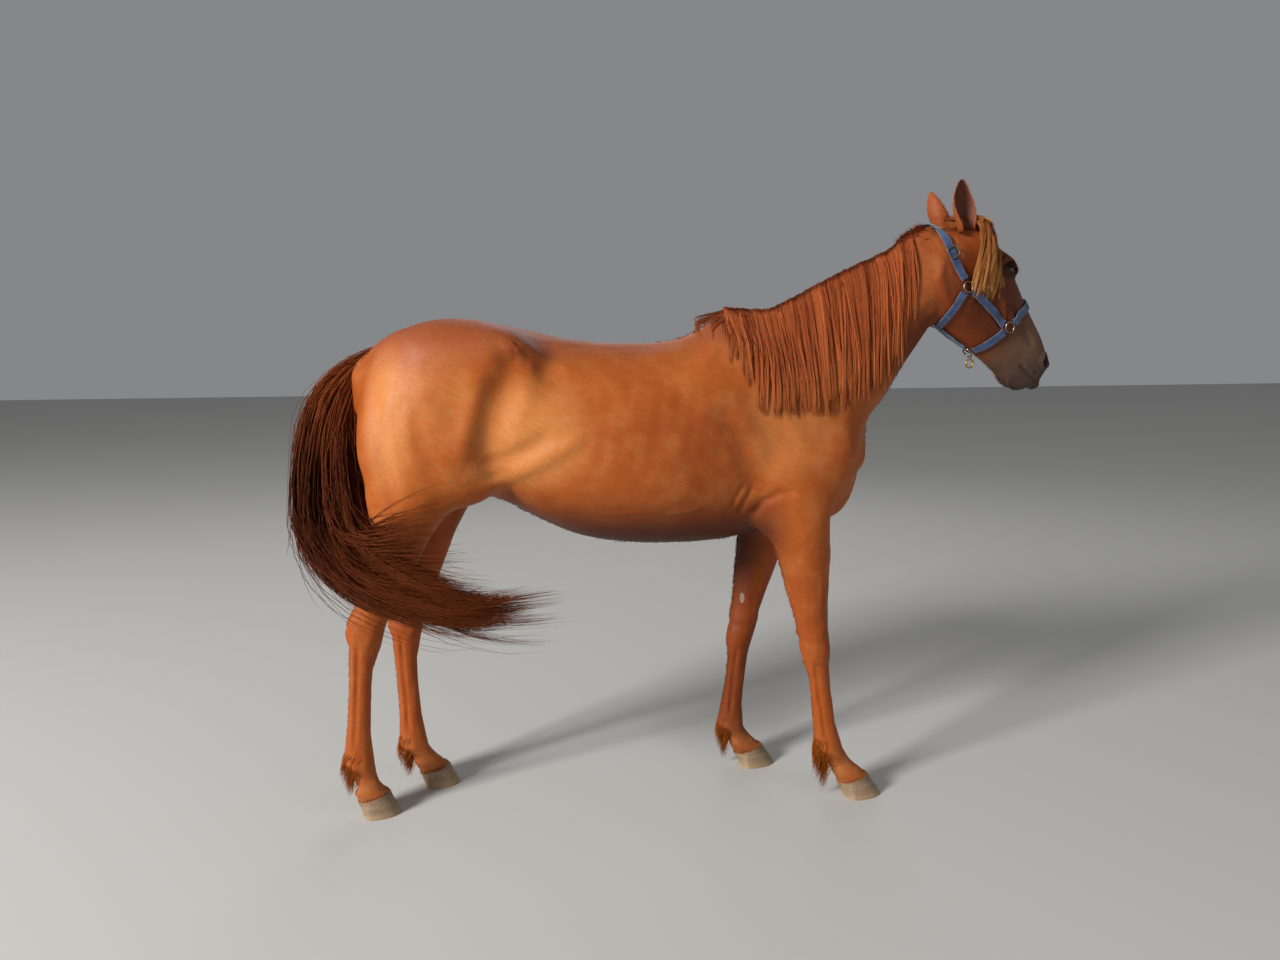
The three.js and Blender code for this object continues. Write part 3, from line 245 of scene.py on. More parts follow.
def largest_shell(thing):
    """Keeps the one connected surface with the most vertices."""
    ends = edge_ends(thing)
    label = np.arange(len(thing.data.vertices))
    before = None
    while before is None or not np.array_equal(before, label):
        before = label.copy()
        low = np.minimum(label[ends[:, 0]], label[ends[:, 1]])
        np.minimum.at(label, ends[:, 0], low)
        np.minimum.at(label, ends[:, 1], low)
        label = label[label]
    kept = np.bincount(label).argmax()
    with opened(thing.data) as mesh:
        stray = [v for v in mesh.verts if label[v.index] != kept]
        bmesh.ops.delete(mesh, geom=stray, context="VERTS")


class Surface:
    """A surface to cast lines at, in millimetres of the horse's own frame."""

    def __init__(self, thing):
        self.tree = BVHTree.FromObject(thing, bpy.context.evaluated_depsgraph_get())

    @staticmethod
    def answer(hit):
        return (None, None) if hit[0] is None else (millimetres(hit[0]), np.array(hit[1]))

    def cast(self, start, way, *reach):
        """Where a line meets the surface and the way out of it there, or twice None."""
        return self.answer(self.tree.ray_cast(Vector(metres(start)), Vector(way), *reach))

    def nearest(self, place, *reach):
        return self.answer(self.tree.find_nearest(Vector(metres(place)), *reach))

    def met(self, lines, *reach):
        """The places where lines, each a start and a way, meet the surface."""
        hits = [self.cast(start, way, *reach)[0] for start, way in lines]
        return [hit for hit in hits if hit is not None]


# ---------------------------------------------------------------- skin

SIDES = (-1, 1)  # the horse's right and left
SIDE_WORDS = {-1: "right", 1: "left"}

SKIN_GROW = 1.2
SKIN_CELL = 14.0
SKIN_DEPTH = 2.0
REFIT_REACH = 9.0
SMOOTH_ROUNDS = (9, 7, 2)  # after the remesh, the first and the last refining
HEAD_BEHIND = 1000  # the head and its finer skin lie ahead of and over these places
HEAD_UNDER = 1180
HEAD_FROM = -40  # along the head's own axis
REFIT_HEAD = 0
FINE_LEGS = 770  # below this height the skin is finer
REFIT_LEGS = 730
REFIT_FACING = 0.3
CORE_DRAW_IN = 0.35  # how much narrower a hoof's flesh gets downward
CORE_FOOT = 30.0
FLARE_MOST = 0.6
FLARE_REACH = 135.0
FLARE_HEIGHT = 86.0
PASTERN_LEAN = 0.7
FINE_STROKE = 26
LEG_RAY = 0.2  # metres; the other starts of lines are millimetres
LEG_POINTS = 5
RING_POINTS = 17
SIDE_START = 700.0
HEAD_START = 260.0

EYE_TILT = math.radians(-38)
EYE_HALF = 21.0
EYE_UPPER, EYE_LOWER = 13.5, 10.5
UPPER_POWER, LOWER_POWER = 0.65, 0.85
LID_THICK = 2.2
LID_REACH = 46
LID_LINE = 3.2  # how close to the lids' edge the skin is finest
EYE_FINE = (58, 30, 40)  # reaches round an eye that are refined, step by step
NOSTRIL_FINE = (46, 34, 24)  # two reaches round a nostril, and how deep the second goes
NOSTRIL_AT = (592, 81, 42)
NOSTRIL_DEEP = 15.0
NOSTRIL_REACH = (60, 40)
NOSTRIL_HALF = (27, 21)  # its half length upward and downward
NOSTRIL_KEEP = (24, 38)  # how far from the middle of the nose its outer groove fades in

# radius, height, then places along a line, x and z, in the horse's own frame
TRUNK_LINES = [
    (38, 9, [(-430, 1050), (-340, 1078), (-240, 1128), (-150, 1180), (-60, 1228)]),
    (34, -8, [(-400, 1130), (-320, 1150), (-240, 1190), (-160, 1240)]),
    (80, -17, [(-268, 1500), (-292, 1420), (-318, 1330), (-352, 1230), (-385, 1120)]),
    (64, 8, [(-378, 1440), (-402, 1340), (-430, 1230), (-455, 1130)]),
    (24, 6, [(-268, 1492), (-255, 1462), (-262, 1430)]),
    (95, -9, [(-190, 1450), (-205, 1390)]),
    (34, -3, [(-520, 1360), (-470, 1300), (-440, 1230)]),
    (46, -3, [(-560, 1250), (-540, 1160), (-500, 1080)]),
    (40, 5, [(-600, 1330), (-585, 1220), (-560, 1110)]),
    (52, 9, [(-275, 1500), (-300, 1478)]),
    (42, -6, [(-705, 1430), (-685, 1300), (-662, 1150), (-640, 1010)]),
    (48, -3, [(-600, 1420), (-590, 1280), (-570, 1130)]),
    (46, -4, [(-420, 1390), (-440, 1270), (-458, 1150)]),
    (46, 4, [(470, 1500), (530, 1360), (590, 1220), (630, 1130)]),
    (44, -3, [(520, 1500), (585, 1370), (640, 1250)]),
    (62, -5, [(330, 1330), (390, 1210), (450, 1090), (500, 990)]),
    (54, 3, [(400, 1290), (460, 1180), (520, 1070)]),
    (22, -7, [(450, 950), (480, 1000), (530, 1030), (590, 1030)]),
    (15, -5, [(405, 960), (425, 1010), (450, 1050)]),
    (13, -4, [(380, 985), (398, 1030), (420, 1065)]),
    (30, -7, [(1000, 1560), (900, 1445), (790, 1330), (700, 1235)]),
    (34, 5, [(985, 1600), (880, 1480), (770, 1370), (690, 1300)]),
    (8, 2.2, [(330, 1010), (250, 985), (170, 975), (90, 985), (10, 975), (-60, 985)]),
    (7, 1.8, [(170, 975), (130, 1010), (80, 1030), (40, 1060)]),
    (7, 1.6, [(-330, 1050), (-290, 1080), (-240, 1085), (-190, 1120)]),
    (7, 1.5, [(430, 1180), (400, 1140), (390, 1090), (360, 1060)]),
]
# the breast seen from the front, as side and height
BREAST_FROM = 1300.0
BREAST_LINES = [
    (78, 18, [(44, 1085), (46, 1030), (50, 970), (52, 905)]),
    (60, -3, [(46, 1210), (46, 1150), (46, 1100)]),
]
RIBS = range(-70, 398, 52)
TRUNK_LINES += [(24, -0.7, [(x + 40, 1400), (x + 10, 1250), (x - 20, 1110)]) for x in RIBS]

MOUTH_LINE = [(543, -6, 46), (562, -4, 47), (582, 0, 46), (602, 6, 42), (622, 15, 33),
              (638, 27, 22)]

# radius, height, then places along a line, along and up, in the head's own frame
HEAD_LINES = [
    (6, -3.0, [(543, -6), (560, -5), (580, 0), (600, 6), (620, 15), (640, 29)]),
    (13, -3.2, [(538, -7), (560, -5), (580, 0), (600, 6), (620, 15), (640, 29)]),
    (7, -1.6, [(536, -2), (526, 6), (518, 16)]),
    (7, -1.6, [(534, -12), (524, -22), (514, -30)]),
    (14, 4.0, [(552, 8), (575, 16), (600, 24)]),
    (15, 5.5, [(262, 68), (300, 52), (345, 36), (392, 20)]),
    (20, -5.0, [(300, 24), (345, 10), (400, -2)]),
    (22, -4.5, [(330, 84), (400, 78), (470, 76), (530, 72)]),
    (26, -9.0, [(196, 128), (182, 120)]),
    (18, 5.0, [(214, 140), (250, 145), (280, 138)]),
    (26, 5.0, [(60, -60), (110, -105), (180, -125), (250, -112)]),
    (16, -4.0, [(30, 20), (60, 0), (100, -10)]),
    (30, 5.0, [(140, -40), (200, -60), (260, -50)]),
    (5, 1.4, [(400, 34), (430, 20), (455, 24), (490, 14), (520, 26)]),
    (5, 1.3, [(455, 24), (470, 48), (500, 60), (530, 56)]),
    (5, 1.2, [(300, 8), (330, -14), (350, -40), (340, -72)]),
]

# Each lower leg from the middle of its knee or hock to its fetlock.
LEG_BONES = {
    "fore_right": ((670, -148, 500), (724, -146, 160)),
    "fore_left": ((483, 146, 476), (448, 138, 142)),
    "hind_right": ((-765, -120, 604), (-803, -103, 172)),
    "hind_left": ((-674, 120, 560), (-656, 108, 136)),
}
# Rings round a leg: middle, how it falls to the front, radius and height.
LEG_RINGS = {
    "fore_right": [((739, -146, 124), 0.4, 17, -5.0), ((724, -146, 158), 0.3, 26, 2.5),
                   ((667, -148, 540), 0, 20, -2.5), ((676, -148, 452), 0, 18, -2.5)],
    "fore_left": [((456, 137, 108), 0.4, 17, -5.0), ((448, 138, 142), 0.3, 26, 2.5),
                  ((485, 146, 516), 0, 20, -2.5), ((479, 145, 428), 0, 18, -2.5)],
    "hind_right": [((-796, -101, 136), 0.4, 17, -5.0), ((-803, -103, 172), 0.3, 26, 2.5),
                   ((-766, -119, 560), 0, 20, -2.5)],
    "hind_left": [((-645, 108, 102), 0.4, 17, -5.0), ((-656, 108, 136), 0.3, 26, 2.5),
                  ((-674, 119, 518), 0, 20, -2.5)],
}
# radius, height, how far behind the bones at the top and at the foot, and the share of the bone
LEG_LINES = {
    "fore": [(11, -6.0, 13, 12, (0.08, 0.9)), (9, 2.4, 27, 26, (0.06, 0.92))],
    "hind": [(12, -6.5, 15, 14, (0.04, 0.9)), (9, 2.4, 30, 28, (0.04, 0.92))],
}


def ease(value):
    value = np.clip(value, 0, 1)
    return value * value * (3 - 2 * value)


def ridge(value, middle, width):
    """One at the middle, fading to nought on both sides of it."""
    return np.exp(-((value - middle) / width) ** 2)


def unit(way):
    way = np.asarray(way, dtype=float)
    return way / np.linalg.norm(way)


def nearest_on_line(places, line):
    """Distance from each place to a polyline, and how far along it (0 to 1) the nearest
    point lies."""
    line = np.asarray(line, dtype=float)
    best = np.full(len(places), 1e9)
    where = np.zeros(len(places))
    lengths = np.linalg.norm(np.diff(line, axis=0), axis=1)
    total = lengths.sum()
    done = 0.0
    for start, end, length in zip(line[:-1], line[1:], lengths):
        share = np.clip((places - start) @ (end - start) / max(length, 1e-6) ** 2, 0, 1)
        away = np.linalg.norm(places - start - share[:, None] * (end - start), axis=1)
        nearer = away < best
        best[nearer] = away[nearer]
        where[nearer] = (done + share[nearer] * length) / total
        done += length
    return best, where


def stroke(places, ways, line, radius, height):
    """Raises a ridge, or with a negative height cuts a groove, that fades at both ends."""
    away, where = nearest_on_line(places, line)
    near = away < radius
    fade = ease(np.minimum(where[near], 1 - where[near]) * 5 + 0.12)
    places[near] += ways[near] * (ease(1 - away[near] / radius) * height * fade)[:, None]


def eye_axes(side):
    """The eye's middle and its own axes: towards the nose, up, and out."""
    out = unit(HEAD_SIDE * side * 0.9 + HEAD_UP * 0.36 + HEAD_ALONG * 0.12)
    front = HEAD_ALONG * math.cos(EYE_TILT) - HEAD_UP * math.sin(EYE_TILT)
    front = unit(front - out * (front @ out))
    up = np.cross(out, front) * side
    return on_head(*EYE_AT[:2], EYE_AT[2] * side), front, up * np.sign(up @ HEAD_UP), out


def nostril_axes(side):
    """The nostril's middle and its own axes: along its length, across it, and out."""
    out = unit(HEAD_SIDE * side * 0.72 + HEAD_UP * 0.48 + HEAD_ALONG * 0.42)
    long = unit(HEAD_UP * 0.87 - HEAD_ALONG * 0.49)
    long = unit(long - out * (long @ out))
    return (on_head(*NOSTRIL_AT[:2], NOSTRIL_AT[2] * side), long, np.cross(out, long) * side,
            out)


def measured(places, axes):
    """How far places lie from the middle of an eye or nostril along its three axes."""
    centre, *ways = axes
    away = places - centre
    return [away @ way for way in ways]


def lid_gap(a, b):
    """How far a place lies outside the opening between the lids, negative inside it."""
    width = np.clip(1 - (a / EYE_HALF) ** 2, 0, 1)
    limit = np.where(b > 0, EYE_UPPER * width ** UPPER_POWER, EYE_LOWER * width ** LOWER_POWER)
    past = np.clip(np.abs(a) - EYE_HALF, 0, None)
    return np.where(past > 0, np.hypot(past, b), np.abs(b) - limit)


def shape_lids(places, side):
    """Lays the lids over the eyeball, with their creases, and sinks the opening behind it."""
    axes = eye_axes(side)
    a, b, c = measured(places, axes)
    spread = np.hypot(a, b)
    near = (spread < LID_REACH) & (c > -12)
    a, b, c, spread = a[near], b[near], c[near], spread[near]
    upper = b > 0
    gap = lid_gap(a, b)
    dome = np.sqrt(np.clip((EYE_RADIUS + LID_THICK) ** 2 - spread ** 2, 16, None))
    dome += np.where(upper, 1.6, 0.9) * ridge(gap, 2.2, 1.8)
    rest = c - (c - dome) * ease((33 - spread) / 12)
    crease = np.where(upper, 1.9, 1.1) * ridge(gap, np.where(upper, 8.0, 7.0), 1.7)
    crease += np.where(upper, 0.9, 0.7) * ridge(gap, 13.0, 1.5)
    rest -= crease * ease((34 - spread) / 8)
    sunk = np.sqrt(np.clip((EYE_RADIUS - 7) ** 2 - spread ** 2, 0, None)) - 2
    inside = ease(-gap / 1.4 + 0.15)
    places[near] += axes[3] * ((rest * (1 - inside) + sunk * inside) - c)[:, None]


def shape_nostril(places, side):
    """Hollows out a bent nostril, with its rim and the groove round it."""
    axes = nostril_axes(side)
    a, b, c = measured(places, axes)
    near = (np.hypot(a, b) < NOSTRIL_REACH[0]) & (np.abs(c) < NOSTRIL_REACH[1])
    a, b = a[near], b[near]
    bent = b - 0.006 * a * a * 0.8 + 2
    half = np.where(a > 0, *NOSTRIL_HALF)
    width = np.clip(1 - (a / half) ** 2, 0, 1) ** 0.5 * (10.5 - 0.14 * a)
    past = np.clip(np.abs(a) - half, 0, None)
    gap = np.where(past > 0, np.hypot(past, bent), np.abs(bent) - width)
    hole = -NOSTRIL_DEEP * ease(-gap / 7 + 0.2)
    inward, outward = NOSTRIL_KEEP
    beside = np.abs(head_axes(places[near])[:, 2])
    groove = -2.2 * ridge(gap, 15, 5) * ease((beside - inward) / (outward - inward))
    places[near] += axes[3] * (hole + 3.6 * ridge(gap, 4.5, 4.2) + groove)[:, None]


def dark_marks(places):
    """How dark the bare skin is: at the lids, in the nostrils and along the mouth."""
    dark = np.zeros(len(places))

    def darken(near, most, away, start, width):
        dark[near] = np.maximum(dark[near], most * (1 - ease((away - start) / width)))

    for side in SIDES:
        axes = eye_axes(side)
        a, b, c = measured(places, axes)
        near = (np.linalg.norm(places - axes[0], axis=1) < 60) & (c > 0)
        darken(near, 0.95, lid_gap(a[near], b[near]), 4, 20)
        a, b, c = measured(places, nostril_axes(side))
        spread = np.hypot(a * 0.55, b)
        near = (spread < 40) & (np.abs(c) < 40)
        darken(near, 0.9, spread[near], 7, 13)
        mouth = [on_head(along, up, beside * side) for along, up, beside in MOUTH_LINE]
        darken(slice(None), 0.6, nearest_on_line(places, mouth)[0], 1, 7)
    return dark


def side_ray(x, z, side):
    """A level line from far out on one side, as a start and a way."""
    return (x, SIDE_START * side, z), (0, -side, 0)


def leg_rays(bones, back, low_back, shares, side):
    """Level lines out of a leg, a little behind its bones."""
    top, low = np.array(bones)
    for step in np.linspace(*shares, LEG_POINTS):
        middle = top + (low - top) * step
        middle[0] -= back + (low_back - back) * step
        yield middle, (0, side, 0)


def ring_rays(middle, slope):
    """Lines out of the middle of a leg all round."""
    for turn in np.linspace(0, 2 * math.pi, RING_POINTS):
        c, s = math.cos(turn), math.sin(turn)
        yield middle, Vector((c, s, -slope * c)).normalized()


def body_strokes(surface):
    """Folds, muscle lines and veins of the body: places on the skin, radius and height."""
    rows = []
    for side in SIDES:
        rows += [(radius, height, [side_ray(x, z, side) for x, z in line])
                 for radius, height, line in TRUNK_LINES]
        rows += [(radius, height, [((BREAST_FROM, y * side, z), (-1, 0, 0)) for y, z in line])
                 for radius, height, line in BREAST_LINES]
    found = [(surface.met(rays), radius, height) for radius, height, rays in rows]
    rows = [(radius, height, leg_rays(bones, back, low_back, shares, side))
            for leg, bones in LEG_BONES.items()
            for radius, height, back, low_back, shares in LEG_LINES[leg[:4]]
            for side in SIDES]
    rows += [(radius, height, ring_rays(middle, slope))
             for rings in LEG_RINGS.values() for middle, slope, radius, height in rings]
    found += [(surface.met(rays, LEG_RAY), radius, height) for radius, height, rays in rows]
    return [row for row in found if len(row[0]) > 1]


def head_strokes(surface):
    """The same for the lines of the head."""
    return [(surface.met([(on_head(along, up, HEAD_START * side), -HEAD_SIDE * side)
                          for along, up in line]), radius, height)
            for side in SIDES for radius, height, line in HEAD_LINES]


def near_any(places, strokes, margin):
    chosen = np.zeros(len(places), dtype=bool)
    for line, radius, _ in strokes:
        chosen |= nearest_on_line(places, line)[0] < radius + margin
    return chosen


def refit(places, ways, surface, chosen):
    """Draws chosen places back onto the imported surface."""
    for index in np.flatnonzero(chosen):
        place, out = surface.nearest(places[index], REFIT_REACH * MM)
        if place is not None and out @ ways[index] > REFIT_FACING:
            places[index] = place
    return places


def hoof_core(leg):
    """The flesh that goes on inside a hoof, so that the hairline is closed."""
    core = merged_copy(f"leg_{leg}_hoof")
    places = vertices(core)
    middle = places[:, :2].mean(axis=0)
    top = places[:, 2].max()
    shrink = 1 - CORE_DRAW_IN * (top - places[:, 2:]) / top
    places[:, :2] = middle + (places[:, :2] - middle) * shrink
    places[:, 2] = np.maximum(places[:, 2], CORE_FOOT)
    set_vertices(core, places)
    return core


def flare_hairlines(places):
    """Widens the foot of each pastern, so that it meets its hoof flush."""
    for (x, y, z), _, _ in HOOVES.values():
        away = places - (x, y, z)
        near = np.flatnonzero(np.linalg.norm(away, axis=1) < FLARE_REACH)
        away = away[near]
        rise = away[:, 2] - HOOF_TOE_RISE * np.clip(away[:, 0] / HOOF_TOP["toe"], -1, 1)
        lean = PASTERN_LEAN * np.clip(rise, 0, None)
        ahead = away[:, 0] + lean
        long = np.where(ahead > 0, HOOF_TOP["toe"], HOOF_TOP["heel"]) - SKIN_DEPTH
        size = np.hypot(ahead / long, away[:, 1] / (HOOF_TOP["half"] - SKIN_DEPTH))
        grow = np.clip(1 / np.maximum(size, 0.5) - 1, 0, FLARE_MOST)
        grow = np.where(size > 0.5, 1 + grow * ease(1 - rise / FLARE_HEIGHT), 1)
        places[near, 0] = x - lean + ahead * grow
        places[near, 1] = y + away[:, 1] * grow
    return places


def refine_face(skin, face):
    """Finer triangles along the lines of the face, then round eyes and nostrils, then lids."""
    places = vertices(skin)
    detail = near_any(places, face, 3)
    for side in SIDES:
        for axes, reaches in ((eye_axes(side), EYE_FINE), (nostril_axes(side), NOSTRIL_FINE)):
            detail |= np.linalg.norm(places - axes[0], axis=1) < reaches[0]
    refine(skin, detail)
    places = vertices(skin)
    detail = np.zeros(len(places), dtype=bool)
    for side in SIDES:
        a, b, c = measured(places, eye_axes(side))
        detail |= (np.hypot(a, b) < EYE_FINE[1]) & (c > 0)
        a, b, c = measured(places, nostril_axes(side))
        detail |= (np.hypot(a, b) < NOSTRIL_FINE[1]) & (np.abs(c) < NOSTRIL_FINE[2])
    refine(skin, detail)
    places = vertices(skin)
    detail = np.zeros(len(places), dtype=bool)
    for side in SIDES:
        axes = eye_axes(side)
        a, b, c = measured(places, axes)
        near = np.linalg.norm(places - axes[0], axis=1) < EYE_FINE[2]
        detail |= (np.abs(lid_gap(a, b)) < LID_LINE) & (c > 0) & near
    refine(skin, detail)


def build_skin():
    """One surface over all the flesh, with its folds, lids and nostrils."""
    pieces = [merged_copy(node) for node in [*FLESH, "eye_left", "eye_right"]]
    pieces += [hoof_core(name) for name in FETLOCKS]
    activate(*pieces)
    bpy.ops.object.join()
    skin = bpy.context.view_layer.objects.active
    skin.name = "skin"
    solid = Surface(skin)
    apply_modifier(skin, "REMESH", mode="VOXEL", voxel_size=SKIN_CELL * MM)
    largest_shell(skin)
    set_vertices(skin, relaxed(vertices(skin), edge_ends(skin), SMOOTH_ROUNDS[0]))
    surface = Surface(skin)
    strokes = body_strokes(surface)
    face = head_strokes(surface)

    places = vertices(skin)
    on_face = ((head_axes(places)[:, 0] > HEAD_FROM) & (places[:, 0] > HEAD_BEHIND)
               & (places[:, 2] > HEAD_UNDER))
    fine = [row for row in strokes if row[1] < FINE_STROKE]
    refine(skin, on_face | (places[:, 2] < FINE_LEGS) | near_any(places, fine, 4))
    places = vertices(skin)
    head = (head_axes(places)[:, 0] > REFIT_HEAD) & (places[:, 0] > HEAD_BEHIND)
    places = refit(places, normals(skin), solid, head | (places[:, 2] < REFIT_LEGS))
    places = relaxed(places, edge_ends(skin), SMOOTH_ROUNDS[1])
    set_vertices(skin, places)
    set_vertices(skin, places - normals(skin) * (SKIN_GROW + SKIN_DEPTH))

    refine_face(skin, face)
    places = flare_hairlines(relaxed(vertices(skin), edge_ends(skin), SMOOTH_ROUNDS[2]))
    set_vertices(skin, places)
    ways = normals(skin)
    for row in strokes + face:
        stroke(places, ways, *row)
    for side in SIDES:
        shape_lids(places, side)
        shape_nostril(places, side)
    set_vertices(skin, places)
    set_mark(skin.data, "dark", dark_marks(places))
    activate(skin)
    bpy.ops.object.shade_smooth()
    return skin


# ---------------------------------------------------------------- shader maths

class Value:
    """One socket of a material, with arithmetic."""

    def __init__(self, graph, socket):
        self.graph = graph
        self.socket = socket

    def maths(self, operation, *inputs):
        settings = {"operation": operation}
        return self.graph.node("ShaderNodeMath", settings, dict(enumerate(inputs)))

    def __add__(self, other):
        return self.maths("ADD", self, other)

    def __mul__(self, other):
        return self.maths("MULTIPLY", self, other)

    def __sub__(self, other):
        return self.maths("SUBTRACT", self, other)

    def most(self, other):
        return self.maths("MAXIMUM", self, other)

    def over(self, low, high):
        """Nought at low, one at high, smooth between."""
        settings = {"interpolation_type": "SMOOTHSTEP", "clamp": True}
        return self.graph.node("ShaderNodeMapRange", settings, {0: self, 1: low, 2: high})

    def rest(self):
        return self.maths("SUBTRACT", 1.0, self)

    def under(self, low, high):
        """One at low, nought at high."""
        return self.over(low, high).rest()

    def band(self, first, second, third, fourth):
        """One between the second and the third, nought outside the first and the fourth."""
        return self.over(first, second) * self.under(third, fourth)


class Graph:
    """A material and the nodes in it. The axes x, y, z are the horse's own, in millimetres."""

    def __init__(self, name):
        self.material = bpy.data.materials.new(name)
        self.material.use_nodes = True
        self.tree = self.material.node_tree
        self.place = self.node("ShaderNodeTexCoord", output=3)
        own = self.node("ShaderNodeVectorMath", {"operation": "MULTIPLY_ADD"}, {
            0: self.place, 1: (1 / MM,) * 3, 2: tuple(-SHIFT)})
        self.x, self.y, self.z = self.parts(own)

    def node(self, kind, settings=None, inputs=None, output=0):
        made = self.tree.nodes.new(kind)
        for key, value in (settings or {}).items():
            setattr(made, key, value)
        self.fill(made, inputs or {})
        return Value(self, made.outputs[output])

    def fill(self, made, inputs):
        for key, value in inputs.items():
            if isinstance(value, Value):
                self.tree.links.new(value.socket, made.inputs[key])
            else:
                made.inputs[key].default_value = value

    def parts(self, vector):
        split = self.node("ShaderNodeSeparateXYZ", inputs={0: vector})
        return [Value(self, output) for output in split.socket.node.outputs]

    def toward(self, way, origin):
        """How far each place lies along a direction from an origin, in millimetres."""
        offset = self.node("ShaderNodeVectorMath", {"operation": "SUBTRACT"},
                           {0: self.place, 1: tuple(metres(origin))})
        scaled = tuple(np.asarray(way) / MM)
        return self.node("ShaderNodeVectorMath", {"operation": "DOT_PRODUCT"},
                         {0: offset, 1: scaled}, output=1)

    def noise(self, scale, detail):
        return self.node("ShaderNodeTexNoise", inputs={
            "Vector": self.place, "Scale": scale, "Detail": detail})

    def grain(self, scales, rough=0.6, detail=3.0, lean=0.0):
        """Noise drawn out along an axis, that may lean back in the horse's side."""
        stretched = self.node("ShaderNodeMapping", {"vector_type": "TEXTURE"}, {
            "Vector": self.place, "Rotation": (0.0, lean, 0.0), "Scale": scales})
        return self.node("ShaderNodeTexNoise", inputs={
            "Vector": stretched, "Scale": 1.0, "Detail": detail, "Roughness": rough})

    def mix(self, share, first, second, blend="MIX"):
        settings = {"data_type": "RGBA", "blend_type": blend, "clamp_factor": True}
        return self.node("ShaderNodeMix", settings, {0: share, 6: first, 7: second}, output=2)

    def layers(self, base, look, *rows):
        """Lays settings' colours over a base one after another, each by its share."""
        for name, share in rows:
            base = self.mix(share, base, getattr(look, name))
        return base

    def attribute(self, name):
        return self.node("ShaderNodeAttribute", {"attribute_name": name}, output=2)

    def patches(self, rows):
        """Strongest in the middle of ovals in the horse's side: x, z, half sizes, strength."""
        found = None
        for x, z, long, high, strength in rows:
            across, upward = (self.x - x) * (1 / long), (self.z - z) * (1 / high)
            patch = (across * across + upward * upward).rest().over(0.0, 0.9) * strength
            found = found.most(patch) if found else patch
        return found

    def bump(self, height, strength, distance):
        return self.node("ShaderNodeBump", inputs={
            "Height": height, "Strength": strength, "Distance": distance})

    def finish(self, colour, rough, normal=None, **constants):
        inputs = {"Base Color": colour, "Roughness": rough, **constants}
        if normal is not None:
            inputs["Normal"] = normal
        self.fill(self.tree.nodes["Principled BSDF"], inputs)
        return self.material


def rgb(code):
    """A colour from its usual six digits, in linear light."""
    parts = [int(code[n:n + 2], 16) / 255 for n in (0, 2, 4)]
    linear = [p / 12.92 if p <= 0.04045 else ((p + 0.055) / 1.055) ** 2.4 for p in parts]
    return (*linear, 1.0)


HAIR_LEAN = 0.45
# x, z, half sizes and strength of the painted highlights, golden patches of light laid into the
# coat's colour, and of the horny ones
PAINTED_HIGHLIGHTS = [(-230, 1220, 210, 200, 1.0), (-655, 1290, 95, 260, 1.0),
                (560, 1240, 180, 200, 0.6), (-500, 1330, 130, 190, 0.45),
                (-300, 1120, 190, 60, 0.8)]
CALLUS_LEFT = [(483, 614, 10, 24, 1.0)]
CALLUS_RIGHT = [(664, 636, 10, 24, 1.0)]


def coat_colour(graph, look):
    """The markings that skin and short hair share, with painted highlights and painted shade laid
    over them.
    """
    x, y, z = graph.x, graph.y, graph.z
    broad = graph.noise(2.4, 3.0)
    fine = graph.noise(11.0, 4.0)
    joints = graph.noise(14.0, 3.0).over(0.35, 0.7)
    # the front of the throat, where painted shade goes
    throat = graph.toward((-0.6, 0, 0.8), (500, 0, 1380)).under(-200, -70)
    callus = (graph.patches(CALLUS_LEFT) * y.band(60, 80, 125, 140)).most(
        graph.patches(CALLUS_RIGHT) * y.band(-128, -112, -70, -50))
    base = graph.mix(broad.over(0.2, 0.8), look.coat_deep, look.coat)
    base = graph.layers(
        base, look,
        ("gold_and_highlight", fine.over(0.4, 0.75) * 0.3),
        # painted highlights: gold laid over the flank, buttock, shoulder, rump and flank fold
        # where light falls
        ("gold_and_highlight", graph.patches(PAINTED_HIGHLIGHTS) * broad.over(0.15, 0.7) * 0.75),
        ("coat_top", z.over(1380, 1560) * x.under(700, 900) * (fine * 0.5 + 0.4)),
        ("coat_top", z.over(1560, 1760) * x.over(800, 960) * 0.35),
        # painted shade under the belly and on the front of the throat
        ("painted_shade", z.under(880, 1080) * x.band(-440, -280, 480, 600)),
        ("painted_shade", throat * z.over(1300, 1480) * 0.75),
        ("legs", z.under(420, 860) * 0.55),
        ("coat_deep", z.band(380, 480, 560, 680) * joints * 0.4),
        ("pastern", z.under(80, 210) * (joints * 0.4 + 0.35)),
        ("callus", callus.over(0.3, 0.6) * 0.8),
        ("coat_deep", z.band(52, 66, 74, 96) * 0.25))

    # the head: cheek with painted shade, partly its darker hair, nasal bone, muzzle, bare skin,
    # its paler flecks, jaw
    along = graph.toward(HEAD_ALONG, HEAD_ORIGIN)
    up = graph.toward(HEAD_UP, HEAD_ORIGIN)
    ahead = x.over(1060, 1100)
    edge = along + (graph.noise(16.0, 4.0) - 0.5) * 90.0
    flecks = graph.noise(30.0, 4.0).over(0.45, 0.8) * edge.over(520, 590)
    return graph.layers(
        base, look,
        # painted shade on the cheek and down the face, partly the cheek's darker hair
        ("painted_shade", (edge + (up * -0.5)).over(40, 260) * ahead * 0.72),
        ("nasal", up.over(70, 140) * edge.over(230, 420) * ahead * 0.55),
        ("muzzle", (edge + (up * 0.2)).over(370, 500) * ahead * 0.92),
        ("bare_skin", (edge + (up * -0.35)).over(470, 590) * ahead * 0.85),
        ("muzzle", flecks * ahead * 0.35),
        ("coat_deep", up.under(-150, -40) * ahead * along.under(420, 520) * 0.5),
        ("dark_skin", graph.attribute("dark")))


